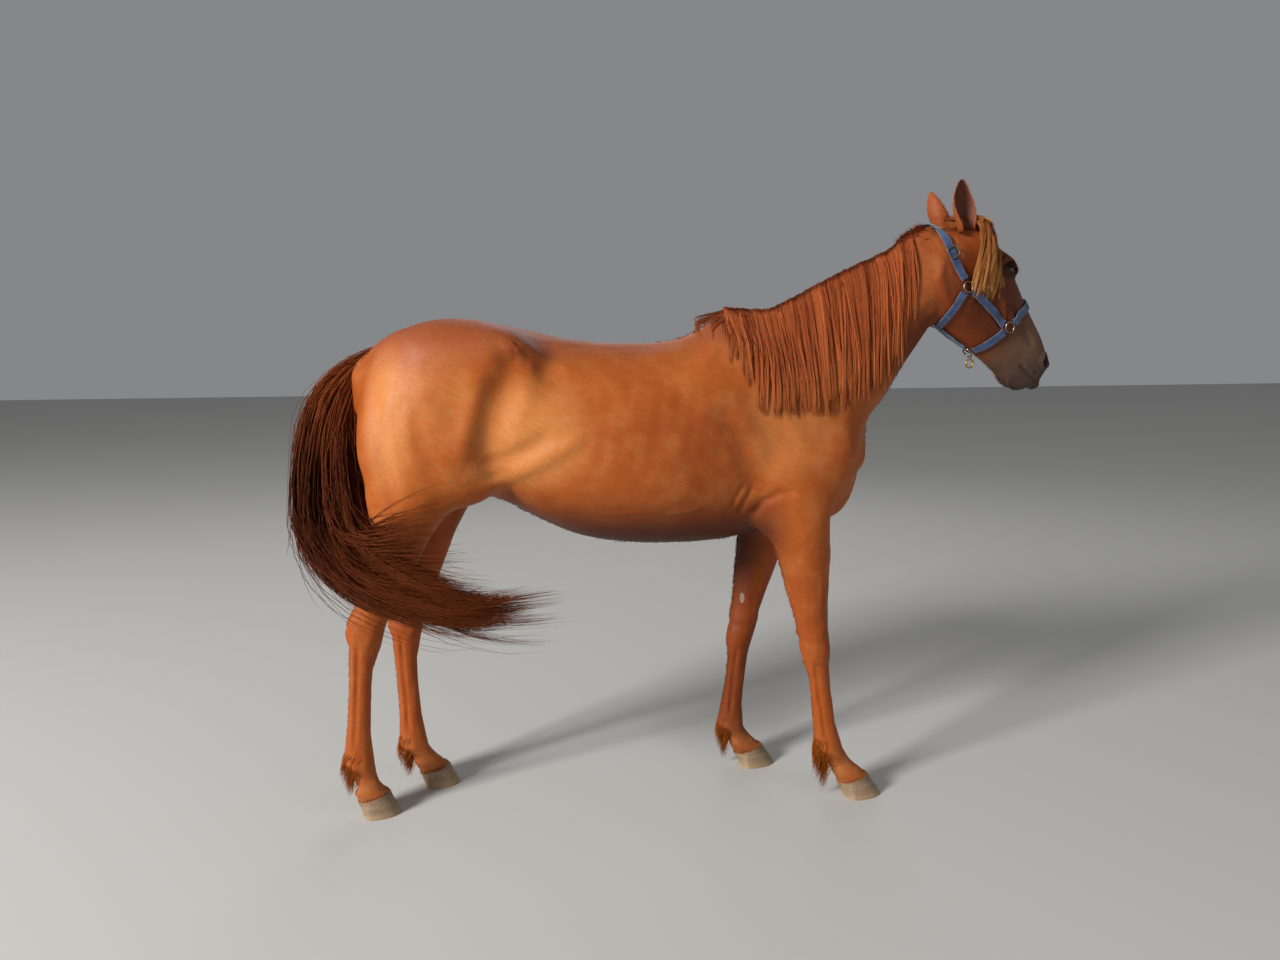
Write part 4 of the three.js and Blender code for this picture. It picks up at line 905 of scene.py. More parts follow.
def coat_bump(graph, strength):
    """Short hair lying back along the body and down the legs."""
    low = graph.z.under(640, 800)
    body = graph.grain((0.030, 0.0042, 0.0042), lean=HAIR_LEAN)
    down = graph.grain((0.0040, 0.0040, 0.028))
    fine = graph.grain((0.010, 0.0014, 0.0014), detail=2.0, lean=HAIR_LEAN)
    hair = body + (down - body) * low
    return graph.bump(hair * 0.6 + fine * 0.3 + graph.noise(26.0, 3.0) * 0.7, strength, 0.0035)


def coat_material(look):
    graph = Graph("coat")
    colour = coat_colour(graph, look)
    streak = graph.grain((0.05, 0.006, 0.006), 0.65, lean=HAIR_LEAN)
    # the ear's hollow darker: its own darker hair, and painted shade in the hollow
    colour = graph.layers(colour, look, ("ear_hollow_shade", graph.attribute("inner") * 0.85))
    colour = graph.mix(streak.over(0.35, 0.7) * 0.5, colour, look.gold_and_highlight, "SOFT_LIGHT")
    return graph.finish(colour, streak * 0.12 + 0.46, coat_bump(graph, 0.4),
                        **{"Specular IOR Level": 0.22})


def short_material(look):
    """Short hair in the skin's own markings, painted highlights and painted shade, lighter or
    darker hair by hair.
    """
    graph = Graph("short_hair")
    tone = graph.attribute("tone")
    colour = graph.layers(coat_colour(graph, look), look,
                          ("gold_and_highlight", tone.over(0.5, 1.0) * 0.3),
                          ("painted_shade", tone.under(0.0, 0.5) * 0.15))
    return graph.finish(colour, 0.6, **{"Specular IOR Level": 0.2})


def hair_material(name, dark, light, tip, top=None):
    """Locks from dark to light by their own tone, paler to the tips, dark at the roots."""
    graph = Graph(name)
    tone = graph.attribute("tone")
    along = graph.attribute("along")
    colour = graph.mix(tone, dark, light)
    if top is not None:
        # lighter towards the top: partly the redder hair at the dock, partly a painted highlight
        colour = graph.mix(graph.z.over(1080, 1420) * (tone * 0.6 + 0.3), colour, top)
    colour = graph.mix(along.over(0.5, 1.0) * 0.6, colour, tip)
    colour = graph.mix(along.under(0.0, 0.12) * 0.35, colour, dark)
    return graph.finish(colour, 0.55, **{"Specular IOR Level": 0.22, "Specular Tint": light})


# ---------------------------------------------------------------- building meshes

def mesh_piece(name, places, faces, material):
    """A piece from millimetre places in the horse's own frame."""
    mesh = bpy.data.meshes.new(name)
    mesh.from_pydata([tuple(p) for p in metres(places)], [], faces)
    mesh.materials.append(material)
    mesh.polygons.foreach_set("use_smooth", [True] * len(mesh.polygons))
    mesh.update()
    thing = placed(name, mesh)
    on_whole_mesh(thing, bpy.ops.mesh.normals_make_consistent, inside=False)
    return thing


def ring_faces(rings, sides, closed=False):
    """Faces over rings of points, capped at both ends unless the rings close on themselves."""
    faces = []
    for r in range(rings if closed else rings - 1):
        for s in range(sides):
            here, there, after = r * sides, (r + 1) % rings * sides, (s + 1) % sides
            faces.append((here + s, here + after, there + after, there + s))
    if not closed:
        faces.append(tuple(range(sides))[::-1])
        faces.append(tuple((rings - 1) * sides + s for s in range(sides)))
    return faces


def unit_rows(ways):
    return ways / np.maximum(np.linalg.norm(ways, axis=-1, keepdims=True), 1e-9)


UV_PATCH = 0.003
LOCK_THIN = 0.55
LOCK_SIDES = 3


def lock_piece(name, paths, shares, widths, faceways, tones, unwrap, material):
    """Tapered three sided locks of hair along paths, as one mesh. Roots come first, and
    shares say how far along its lock each step lies."""
    count, steps, _ = paths.shape
    tangent = unit_rows(np.gradient(paths, axis=1))
    across = unit_rows(np.cross(tangent, faceways))
    lift = np.cross(across, tangent)
    rings = np.empty((count, steps - 1, LOCK_SIDES, 3))
    width = widths[:, :-1, None] / 2
    for corner, turn in enumerate(np.radians((90, 210, 330))):
        rings[:, :, corner] = (paths[:, :-1] + across[:, :-1] * width * math.cos(turn)
                               + lift[:, :-1] * width * LOCK_THIN * math.sin(turn))
    each = (steps - 1) * LOCK_SIDES + 1
    places = np.concatenate([rings.reshape(count, -1, 3), paths[:, -1:]], axis=1)
    pairs = [(corner, (corner + 1) % LOCK_SIDES) for corner in range(LOCK_SIDES)]
    quads = [(first + low, first + low + LOCK_SIDES, second + low + LOCK_SIDES, second + low)
             for low in range(0, (steps - 2) * LOCK_SIDES, LOCK_SIDES) for first, second in pairs]
    last = (steps - 2) * LOCK_SIDES
    tips = [(last + first, each - 1, last + second) for first, second in pairs] + [(0, 1, 2)]
    offsets = np.arange(count)[:, None] * each
    loops = np.concatenate([(np.array(faces).ravel()[None] + offsets).ravel()
                            for faces in (quads, tips)])
    totals = np.repeat([4, 3], [count * len(quads), count * len(tips)])
    starts = np.concatenate([[0], np.cumsum(totals)[:-1]])

    mesh = bpy.data.meshes.new(name)
    for group, length in ((mesh.vertices, count * each), (mesh.loops, len(loops)),
                          (mesh.polygons, len(totals))):
        group.add(length)
    mesh.vertices.foreach_set("co", metres(places).ravel())
    mesh.loops.foreach_set("vertex_index", loops)
    mesh.polygons.foreach_set("loop_start", starts)
    mesh.polygons.foreach_set("loop_total", totals)
    mesh.polygons.foreach_set("use_smooth", np.ones(len(totals), dtype=bool))
    along = np.concatenate([np.repeat(shares[:-1], LOCK_SIDES), [1.0]])
    set_mark(mesh, "along", np.tile(along, count))
    set_mark(mesh, "tone", np.repeat(tones, each))
    patch = np.stack([np.tile([0.0, 0.5, 1.0], steps - 1), along[:-1]], axis=1)
    patch = np.concatenate([patch, [[0.5, 1.0]]]) * UV_PATCH
    marks = unwrap.marks(paths[:, 0])
    marks = (patch[None] + marks[:, None] - UV_PATCH / 2).reshape(-1, 2)
    mesh.uv_layers.new(name="OFBake").data.foreach_set("uv", marks[loops].ravel())
    mesh.materials.append(material)
    mesh.update()
    mesh.validate()
    return placed(name, mesh)


class Unwrap:
    """A coarse unwrapped copy of the skin that gives each root its place on the unwrap."""

    def __init__(self, skin):
        copy = placed("unwrap", skin.data.copy())
        apply_modifier(copy, "DECIMATE", ratio=0.06)
        on_whole_mesh(copy, bpy.ops.uv.smart_project, angle_limit=math.radians(66),
                      island_margin=0.004)
        self.tree = Surface(copy).tree
        mesh = copy.data
        layer = mesh.uv_layers.active.data
        self.corners = [
            ([mesh.vertices[mesh.loops[n].vertex_index].co.copy() for n in face.loop_indices],
             np.array([tuple(layer[n].uv) for n in face.loop_indices]))
            for face in mesh.polygons]
        bpy.data.objects.remove(copy)

    def marks(self, roots):
        found = np.empty((len(roots), 2))
        for n, root in enumerate(metres(roots)):
            hit, _, face, _ = self.tree.find_nearest(Vector(root))
            corners, marks = self.corners[face]
            shares = np.array([1 / max((hit - c).length, 1e-6) for c in corners])
            found[n] = shares / shares.sum() @ marks
        return np.clip(found, UV_PATCH, 1 - UV_PATCH)


# ---------------------------------------------------------------- hair

# The mane's lower edge, x and z, from the withers to the bridle path.
MANE_EDGE = [(390, 1540), (425, 1400), (484, 1272), (565, 1262), (662, 1270), (773, 1282),
             (883, 1330), (956, 1440), (1012, 1640)]
MANE_BACK, MANE_FRONT = 396, 1002
MANE_PIECES = 3
MAP_STEP = 7.0
MANE_STEPS = np.array((0, 0.03, 0.08, 0.16, 0.28, 0.42, 0.58, 0.74, 0.88, 0.975, 1.0))
MANE_UNDER = 0.3  # share of the locks that lie low and end early, under the others, and are darker as painted shade under the top locks
# Strands that fall back over the withers: root x, end x and end z.
BACK_STRANDS = [(428, 392, 1425), (424, 372, 1478), (418, 350, 1500), (410, 296, 1512)]

# The middle of the tail, then its half width and half depth.
TAIL_SECTIONS = [
    (-690, 0, 1476, 34, 34), (-770, -4, 1438, 46, 42), (-838, -12, 1340, 82, 58),
    (-868, -30, 1190, 94, 74), (-866, -62, 1050, 104, 82), (-838, -116, 945, 106, 82),
    (-778, -188, 858, 94, 56), (-700, -228, 803, 84, 38), (-592, -250, 753, 70, 32),
    (-452, -268, 708, 64, 24), (-335, -284, 710, 42, 16), (-130, -300, 728, 14, 6),
]
TAIL_STEPS = np.array((0, 0.05, 0.12, 0.2, 0.29, 0.38, 0.47, 0.56, 0.65, 0.74, 0.83, 0.91,
                       0.975, 1.0))
TAIL_PIECES = 4
TAIL_DOCK = 0.27
TAIL_WISPS = 0.13  # share of the strands that swing up across the thigh
WISP_SWING = 330
HELD_MARGIN = 18.0

# The same for the forelock, in the axes of the head.
FORELOCK_SECTIONS = [
    (-8, 62, 4, 22, 9), (34, 106, -12, 34, 12), (80, 134, -36, 46, 13),
    (130, 110, -68, 60, 11), (180, 62, -86, 64, 9), (225, 14, -92, 60, 7),
    (268, -28, -90, 50, 6),
]
FORELOCK_STRANDS = 120
SOFT_STEPS = np.array((0, 0.12, 0.28, 0.46, 0.64, 0.82, 0.96, 1.0))

# Where each tuft hangs, how far it falls and how far it stands off behind.
FETLOCKS = {
    "fore_right": {"at": (724, -146, 152), "drop": 74, "back": 42},
    "fore_left": {"at": (448, 138, 134), "drop": 62, "back": 44},
    "hind_right": {"at": (-803, -103, 162), "drop": 46, "back": 58},
    "hind_left": {"at": (-656, 108, 128), "drop": 54, "back": 54},
}
TUFT_START = 110
TUFT_RAY = 0.15
SHORT_STEPS = np.array((0, 0.45, 0.9, 1.0))
CURVE_STEP = 0.01
LOCK_SPREAD = 0.12
CLEAR_REACH = 0.06


def curve_rows(rows, shares):
    """Rows of a table read smoothly at shares of the way along it."""
    rows = np.asarray(rows, dtype=float)
    steps = np.linalg.norm(np.diff(rows[:, :3], axis=0), axis=1) ** 0.5
    knots = np.concatenate([[0], np.cumsum(steps)])
    knots /= knots[-1]
    slopes = np.gradient(rows, knots, axis=0)
    at = np.clip(np.searchsorted(knots, shares, side="right") - 1, 0, len(rows) - 2)
    width = knots[at + 1] - knots[at]
    t = ((shares - knots[at]) / width)[..., None]
    width = width[..., None]
    return (
        (2 * t**3 - 3 * t**2 + 1) * rows[at]
        + (t**3 - 2 * t**2 + t) * width * slopes[at]
        + (3 * t**2 - 2 * t**3) * rows[at + 1]
        + (t**3 - t**2) * width * slopes[at + 1]
    )


def curve_tangents(rows, shares):
    """The way a table's curve runs at shares of the way along it."""
    ahead, behind = [curve_rows(rows, np.clip(shares + step, 0, 1))[..., :3]
                     for step in (CURVE_STEP, -CURVE_STEP)]
    return unit_rows(ahead - behind)


def wander(rng, count, steps, size):
    """Smooth sideways drift along locks, nought at the roots."""
    phase = rng.uniform(0, 2 * math.pi, (count, 1, 3))
    pace = rng.uniform(0.6, 1.7, (count, 1, 3)) * math.pi
    waves = np.sin(steps[None, :, None] * pace + phase) - np.sin(phase)
    return waves * steps[None, :, None] ** 0.7 * size


def taper(rng, count, steps, root):
    """Widths along locks, from a root width to nothing."""
    shape = (0.55 + 0.45 * np.sin(np.clip(steps * 2.2, 0, 1) * math.pi / 2)) * (1 - steps ** 4)
    return shape[None] * rng.uniform(0.7, 1.3, (count, 1)) * root + 0.25


def varied(rng, tone, spread, shift=0.0):
    """Tones scattered about a middle one, between nought and one."""
    return np.clip(tone + rng.normal(0, spread, len(tone)) + shift, 0, 1)


class SideMap:
    """How far out the right of the neck lies at places x, z, and the height of its crest."""

    def __init__(self, surface):
        self.x = np.arange(280.0, 1060.0, MAP_STEP)
        self.z = np.arange(1220.0, 1900.0, MAP_STEP)
        self.y = np.empty((len(self.x), len(self.z)))
        for i, x in enumerate(self.x):
            last = 4.0
            for j in range(len(self.z) - 1, -1, -1):
                hit = surface.cast(*side_ray(x, self.z[j], -1))[0]
                last = last if hit is None else hit[1]
                self.y[i, j] = last
        self.crest = [hit[2] for hit in surface.met([((x, 0, 2200), (0, 0, -1))
                                                     for x in self.x])]

    def top(self, x):
        return np.interp(x, self.x, self.crest)

    def at(self, x, z):
        i, j = [np.clip((value - axis[0]) / MAP_STEP, 0, len(axis) - 1.001)
                for value, axis in ((x, self.x), (z, self.z))]
        a, b = i.astype(int), j.astype(int)
        u, v = i - a, j - b
        y = self.y
        return ((y[a, b] * (1 - v) + y[a, b + 1] * v) * (1 - u)
                + (y[a + 1, b] * (1 - v) + y[a + 1, b + 1] * v) * u)


def mane_strands(rng, side_map, count):
    """Hanging strands, one row each: root x, end x, end z, stand-off and tone."""
    root = np.linspace(MANE_BACK, MANE_FRONT, count) + rng.normal(0, 3, count)
    end = np.clip(root + rng.normal(4, 8, count), MANE_BACK + 4, MANE_FRONT - 2)
    edge = np.interp(end, *zip(*MANE_EDGE))
    room = side_map.top(root) - edge
    foot = edge + np.minimum(np.abs(rng.normal(0, 50, count)) - 14, room * 0.5)
    lift = rng.uniform(4, 15, count)
    # painted shade: strands that lie close to the neck are darker, those that stand off lighter
    tone = np.clip(rng.normal(0.42, 0.2, count) + (lift - 9) * 0.04, 0, 1)
    strands = np.stack([root, end, foot, lift, tone], axis=1)
    return np.concatenate([strands, [(*row, 7.0, 0.35) for row in BACK_STRANDS]])


def mane_locks(rng, side_map, strands, sways, count):
    """Paths and tones of locks that gather towards the tips of their strands."""
    steps = MANE_STEPS[None]
    pick = rng.integers(0, len(strands), count)
    root, end, foot, lift, tone = strands[pick].T
    under = rng.random(count) < MANE_UNDER
    offset = rng.normal(0, 1, count) * np.where(under, 9.0, 4.0)
    root_x = np.clip(root + offset, MANE_BACK - 4, MANE_FRONT)
    end_x = end + offset * np.where(under, 0.5, 0.1) + rng.normal(0, 0.8, count)
    top = side_map.top(root_x)
    foot = foot + rng.exponential(14, count)
    foot = np.where(under, top - (top - foot) * rng.uniform(0.5, 0.8, count), foot)
    lift = lift - np.abs(offset) * 0.35 + rng.normal(0, 1.0, count)
    lift = np.where(under, rng.uniform(1.0, 4.0, count), np.maximum(lift, 3.0))
    x = root_x[:, None] + (end_x - root_x)[:, None] * ease(steps * 1.3)
    x += sways[pick][:, :, 0] + wander(rng, count, MANE_STEPS, 1.6)[:, :, 0]
    start = top + lift * 0.55 + 11
    z = start[:, None] + (foot - start)[:, None] * steps
    rise = lift[:, None] * (0.4 + 0.6 * ease(steps * 5)) * (1 - 0.5 * ease(steps * 2 - 1))
    y = np.minimum.accumulate(side_map.at(x, z) - rise, axis=1)
    root_y = rng.uniform(-9, 12, count)
    x[:, 0], y[:, 0], z[:, 0] = root_x, root_y, top - 3 - np.abs(root_y) * 0.3
    y[:, 1] = np.minimum(y[:, 1], root_y - 2)
    # the locks underneath are darker: painted shade under the top locks
    return np.stack([x, y, z], axis=2), varied(rng, tone, LOCK_SPREAD, under * -0.35)


def build_mane(surface, unwrap, rng, hair):
    side_map = SideMap(surface)
    material = hair_material("mane", hair.mane_dark, hair.mane_light, hair.mane_tip)
    strands = mane_strands(rng, side_map, hair.mane_strands)
    sways = wander(rng, len(strands), MANE_STEPS, 6.5)
    for n in range(MANE_PIECES):
        count = hair.mane_locks // MANE_PIECES
        paths, tones = mane_locks(rng, side_map, strands, sways, count)
        widths = taper(rng, count, MANE_STEPS, hair.lock_width)
        ways = np.broadcast_to((0.0, -1.0, 0.15), paths.shape)
        yield lock_piece(f"mane_{n + 1}", paths, MANE_STEPS, widths, ways, tones, unwrap,
                         material)


def tail_strands(rng, count):
    """Strands of the tail, one row each: where they start and end along it, the turn and
    distance from its middle, how far they fan out, how far they swing up, and their tone."""
    start = rng.uniform(0.0, TAIL_DOCK, count)
    finish = np.clip(0.96 - np.abs(rng.normal(0, 0.28, count)), 0.38, 1.0)
    finish[rng.random(count) < 0.05] = 1.0
    turn = rng.uniform(0, 2 * math.pi, count)
    radius = rng.uniform(0.08, 1.0, count) ** 0.5
    fan = rng.normal(0, 30, count)
    swing = np.zeros(count)
    wisp = rng.random(count) < TAIL_WISPS
    swing[wisp] = rng.uniform(50, WISP_SWING, wisp.sum())
    finish[wisp] = 0.88 - 0.1 * swing[wisp] / WISP_SWING
    tone = np.clip(rng.normal(0.45, 0.24, count) + wisp * 0.2, 0, 1)
    return np.stack([start, finish, turn, radius, fan, swing, tone], axis=1)


def tail_locks(rng, strands, sways, count, surface):
    """Paths, outward ways and tones of the tail's locks."""
    steps = TAIL_STEPS[None]
    pick = rng.integers(0, len(strands), count)
    thin = (strands[pick, 5] > 0) & (rng.random(count) < 0.78)
    pick[thin] = rng.integers(0, len(strands), thin.sum())
    start, finish, turn, radius, fan, swing, tone = strands[pick].T
    swing = (swing * rng.normal(1, 0.13, count))[:, None]
    start = np.clip(start + rng.normal(0, 0.02, count), 0, TAIL_DOCK + 0.03)[:, None]
    finish = np.clip(finish - np.abs(rng.normal(0, 0.08, count)), 0.4, 1.0)[:, None]
    share = start + (finish - start) * steps
    rows = curve_rows(TAIL_SECTIONS, share)
    tangent = curve_tangents(TAIL_SECTIONS, share)
    flat = unit_rows(np.array((0.0, 1.0, 0.0)) - tangent * tangent[..., 1:2])
    across = np.cross(tangent, flat)
    spread = radius[:, None] * (0.3 + 0.64 * ease((share - start) / 0.16))
    loose = 1.0 - 0.6 * ease((steps - 0.25) / 0.6)
    jitter = rng.normal(0, 7.0, (2, count, 1)) * loose
    wide = np.maximum(rows[..., 3], 22 + 34 * ease((share - 0.8) / 0.12))
    c, s = np.cos(turn)[:, None], np.sin(turn)[:, None]
    a = c * spread * wide + jitter[0]
    b = s * spread * rows[..., 4] + jitter[1] * 0.7
    a += fan[:, None] * ease((share - 0.72) / 0.25)
    paths = rows[..., :3] + across * a[..., None] + flat * b[..., None]
    paths[..., 2] += swing * ease((share - 0.42) / 0.46)
    paths[..., 1] -= (swing > 0) * 14 * ease((share - 0.5) / 0.2)
    stray = 1.0 + 1.6 * (rng.random((count, 1, 1)) < 0.07)
    paths += sways[pick] * stray + wander(rng, count, TAIL_STEPS, 4.5) * stray
    up = swing[:, 0] > 0
    paths[up] = clear_of_skin(surface, paths[up], 5.0)
    ways = unit_rows(across * c[..., None] + flat * s[..., None])
    return held_inside(paths), ways, varied(rng, tone, LOCK_SPREAD)


def build_tail(surface, unwrap, rng, hair):
    material = hair_material("tail", hair.tail_dark, hair.tail_light, hair.tail_tip,
                             hair.tail_top)
    strands = tail_strands(rng, hair.tail_strands)
    sways = wander(rng, len(strands), TAIL_STEPS, 13.0)
    for n in range(TAIL_PIECES):
        count = hair.tail_locks // TAIL_PIECES
        paths, ways, tones = tail_locks(rng, strands, sways, count, surface)
        widths = taper(rng, count, TAIL_STEPS, hair.lock_width * 1.15)
        yield lock_piece(f"tail_{n + 1}", paths, TAIL_STEPS, widths, ways, tones, unwrap,
                         material)


def held_inside(paths):
    """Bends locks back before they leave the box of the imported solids."""
    low, high = [millimetres(corner) for corner in CAD_BOUNDS]
    for wall, inward in ((low, 1), (high, -1)):
        room = (paths - wall) * inward
        bent = HELD_MARGIN * np.exp((np.minimum(room, HELD_MARGIN) - HELD_MARGIN) / HELD_MARGIN)
        paths = np.where(room < HELD_MARGIN, wall + bent * inward, paths)
    return paths


def clear_of_skin(surface, paths, least):
    """Moves places out of the skin, to at least a small height over it, roots left alone."""
    for lock in paths:
        for n in range(1, len(lock)):
            hit, out = surface.nearest(lock[n], CLEAR_REACH)
            if hit is not None:
                lock[n] += out * max(least - (lock[n] - hit) @ out, 0)
    return paths


def build_forelock(surface, unwrap, rng, hair):
    count = hair.forelock_locks
    steps = SOFT_STEPS
    rows = [[*on_head(*row[:3]), *row[3:]] for row in FORELOCK_SECTIONS]
    number = FORELOCK_STRANDS
    strand_a = rng.uniform(-1, 1, number)
    strand_b = rng.uniform(-0.8, 0.8, number)
    strand_end = np.clip(1.0 - np.abs(rng.normal(0, 0.3, number)), 0.4, 1.0)
    strand_tone = np.clip(rng.normal(0.5, 0.36, number), 0, 1)
    sways = wander(rng, number, steps, 9.0)
    pick = rng.integers(0, number, count)
    start = rng.uniform(0, 0.14, count)
    finish = np.clip(strand_end[pick] - np.abs(rng.normal(0, 0.05, count)), 0.4, 1.0)
    share = start[:, None] + (finish - start)[:, None] * steps[None]
    at = curve_rows(rows, share)
    tangent = curve_tangents(rows, share)
    centre = at[..., :3]
    along = (centre - HEAD_ORIGIN) @ HEAD_ALONG
    out = centre - (HEAD_ORIGIN + along[..., None] * HEAD_ALONG - 40 * HEAD_UP)
    out = unit_rows(out - tangent * np.sum(out * tangent, axis=-1, keepdims=True))
    across = np.cross(tangent, out)
    loose = (1.0 - 0.75 * ease(steps * 1.2))[None]
    a = strand_a[pick, None] * at[..., 3] + rng.normal(0, 6, (count, 1)) * loose
    b = strand_b[pick, None] * at[..., 4] + rng.normal(0, 2, (count, 1)) * loose
    paths = centre + across * a[..., None] + out * b[..., None]
    paths += sways[pick] + wander(rng, count, steps, 1.5)
    paths = clear_of_skin(surface, paths, 2.0)
    for path in paths:
        for step, lift in ((0, -3.0), (1, 4.0)):
            place, way = surface.nearest(path[step])
            path[step] = place + way * lift
    widths = taper(rng, count, steps, hair.lock_width * 0.62)
    tones = varied(rng, strand_tone[pick], LOCK_SPREAD)
    material = hair_material("forelock", hair.forelock_dark, hair.forelock_light,
                             hair.forelock_tip)
    return lock_piece("forelock_locks", paths, steps, widths, out, tones, unwrap, material)


def tuft_paths(rng, surface, leg, count):
    """Hair off the back of one fetlock, that hangs together to a ragged end."""
    place, drop, back = leg["at"], leg["drop"], leg["back"]
    turn = rng.normal(0, 0.7, count)
    rise = rng.uniform(-38, 58, count)
    paths, ways = [], []
    bends = wander(rng, count, SOFT_STEPS, 3.5)
    steps = SOFT_STEPS[:, None]
    for n in range(count):
        away = np.array((-math.cos(turn[n]), math.sin(turn[n]), 0.0))
        start = np.array(place) + away * TUFT_START + (0, 0, rise[n])
        hit, out = surface.cast(start, -away, TUFT_RAY)
        if hit is None:
            continue
        root = hit - out * 1.5
        knee = root + out * 9 + (0, 0, -drop * 0.3)
        foot = np.array((place[0] - back, place[1], root[2] - drop))
        foot[:2] += (root[:2] - foot[:2]) * (0.5, 0.6) + rng.normal(0, 4.0, 2)
        foot[2] += rng.uniform(-0.4, 0.45) * drop
        paths.append(root * (1 - steps) ** 2 + knee * 2 * steps * (1 - steps)
                     + foot * steps ** 2 + bends[n])
        ways.append(np.tile(away, (len(SOFT_STEPS), 1)))
    return clear_of_skin(surface, np.array(paths), -1.5), np.array(ways)


def build_tufts(surface, unwrap, rng, hair):
    material = hair_material("tuft", hair.tuft_dark, hair.tuft_light, hair.tuft_tip)
    for name, leg in FETLOCKS.items():
        paths, ways = tuft_paths(rng, surface, leg, hair.tuft_locks)
        widths = taper(rng, len(paths), SOFT_STEPS, hair.lock_width * 0.5)
        tones = np.clip(rng.normal(0.55, 0.28, len(paths)), 0, 1)
        yield name, lock_piece(f"tuft_{name}", paths, SOFT_STEPS, widths, ways, tones, unwrap,
                               material)


# Lines that short hair stands off from: two ends and a ray's way in the horse's own frame,
# the way the hair lies, how far it scatters, its length and how many hairs there are.
BODY_FRINGES = [
    ((-340, 0, 500), (560, 0, 500), (0, 0, 1), (-1, 0, 0), 30, 13, 936),
    ((1000, 0, 1150), (1000, 0, 1560), (-1, 0, 0), (0, 0, -1), 26, 12, 648),
    ((300, -148, 560), (300, -150, 900), (1, 0, 0), (-0.2, 0, -1), 14, 12, 360),
    ((200, 148, 540), (200, 150, 900), (1, 0, 0), (-0.2, 0, -1), 14, 12, 360),
    ((400, -147, 200), (400, -148, 470), (1, 0, 0), (-0.2, 0, -1), 9, 7, 273),
    ((200, 140, 180), (200, 145, 450), (1, 0, 0), (-0.2, 0, -1), 9, 7, 273),
    ((-1100, -104, 210), (-1100, -118, 560), (1, 0, 0), (-0.2, 0, -1), 9, 7, 302),
    ((-1100, 108, 180), (-1100, 118, 520), (1, 0, 0), (-0.2, 0, -1), 9, 7, 302),
    ((-1100, -124, 640), (-1100, -150, 860), (1, 0, 0), (-0.1, 0, -1), 12, 10, 259),
    ((-1100, 124, 600), (-1100, 150, 830), (1, 0, 0), (-0.1, 0, -1), 12, 10, 259),
]
# The same for the head, in its own frame.
HEAD_FRINGES = [
    ((90, -500, 0), (520, -500, 0), (0, 1, 0), (1, 0, 0), 24, 10, 900),
    ((500, -400, 0), (620, -400, 0), (0, 1, 0), (1, -0.4, 0), 20, 12, 420),
    ((120, 500, 0), (470, 500, 0), (0, -1, 0), (1, 0, 0), 16, 7, 500),
    ((-30, 500, 0), (34, 500, 0), (0, -1, 0), (1, 0.5, 0), 30, 26, 500),
]
BRIDLE_PATH = ((975, 0, 2200), (1058, 0, 2200), (0, 0, -1), (-0.5, -0.5, 0.1), 34, 26, 1100)
CORONET_HAIRS = 620
EAR_HAIRS = 420
LASHES = 110
FRINGE_STAND = 0.2


def short_locks(rng, roots, outs, lies, length, stand):
    """Paths of short hairs that lie along the skin and lift off it a little."""
    count = len(roots)
    lies = unit_rows(lies - outs * np.sum(lies * outs, axis=1, keepdims=True))
    lies = unit_rows(lies + rng.normal(0, 0.22, (count, 3)))
    reach = length * rng.uniform(0.6, 1.25, (count, 1, 1))
    steps = SHORT_STEPS[None, :, None]
    bend = outs[:, None] * (stand * rng.uniform(0.5, 1.4, (count, 1, 1)) * steps ** 0.8)
    sunk = outs[:, None] * 1.2 * (steps == 0)
    return roots[:, None] + (lies[:, None] * steps + bend) * reach - sunk


def fringe(rng, surface, row, place=np.array, turn=np.array):
    """Short hairs scattered about one line of the table."""
    *ends, ray, lie, scatter, length, count = row
    first, last, ray, lie = [np.array(value, dtype=float) for value in (*ends, ray, lie)]
    found = []
    for share in rng.uniform(0, 1, count):
        start = first + (last - first) * share
        start += (rng.normal(0, scatter * 0.5, 3) * (1 - np.abs(unit(ray)))
                  * (1 - np.abs(unit(last - first))))
        hit, out = surface.cast(place(start), turn(ray))
        if hit is not None:
            found.append((*hit, *out))
    found = np.array(found)
    lies = np.broadcast_to(turn(lie), (len(found), 3))
    return short_locks(rng, found[:, :3], found[:, 3:], lies, length, FRINGE_STAND)


def head_place(place):
    return on_head(*place)


def head_way(way):
    return HEAD_ALONG * way[0] + HEAD_UP * way[1] + HEAD_SIDE * way[2]


def coronet_locks(rng, surface, coronet):
    """Hair of the hairline that falls over the top of a hoof."""
    x, y, z = coronet
    turn = rng.uniform(0, 2 * math.pi, CORONET_HAIRS)
    c, s = np.cos(turn), np.sin(turn)
    out = np.where(c > 0, HOOF_TOP["toe"], HOOF_TOP["heel"]) - SKIN_DEPTH
    roots = np.stack([x + out * c, y + (HOOF_TOP["half"] - SKIN_DEPTH) * s,
                      z + HOOF_TOE_RISE * c + rng.uniform(2, 12, CORONET_HAIRS)], axis=1)
    roots, outs = np.array([surface.nearest(root) for root in roots]).transpose(1, 0, 2)
    lies = np.stack([c * 0.4, s * 0.4, -np.ones_like(c)], axis=1)
    return short_locks(rng, roots, outs, lies, 10.0, 0.16)


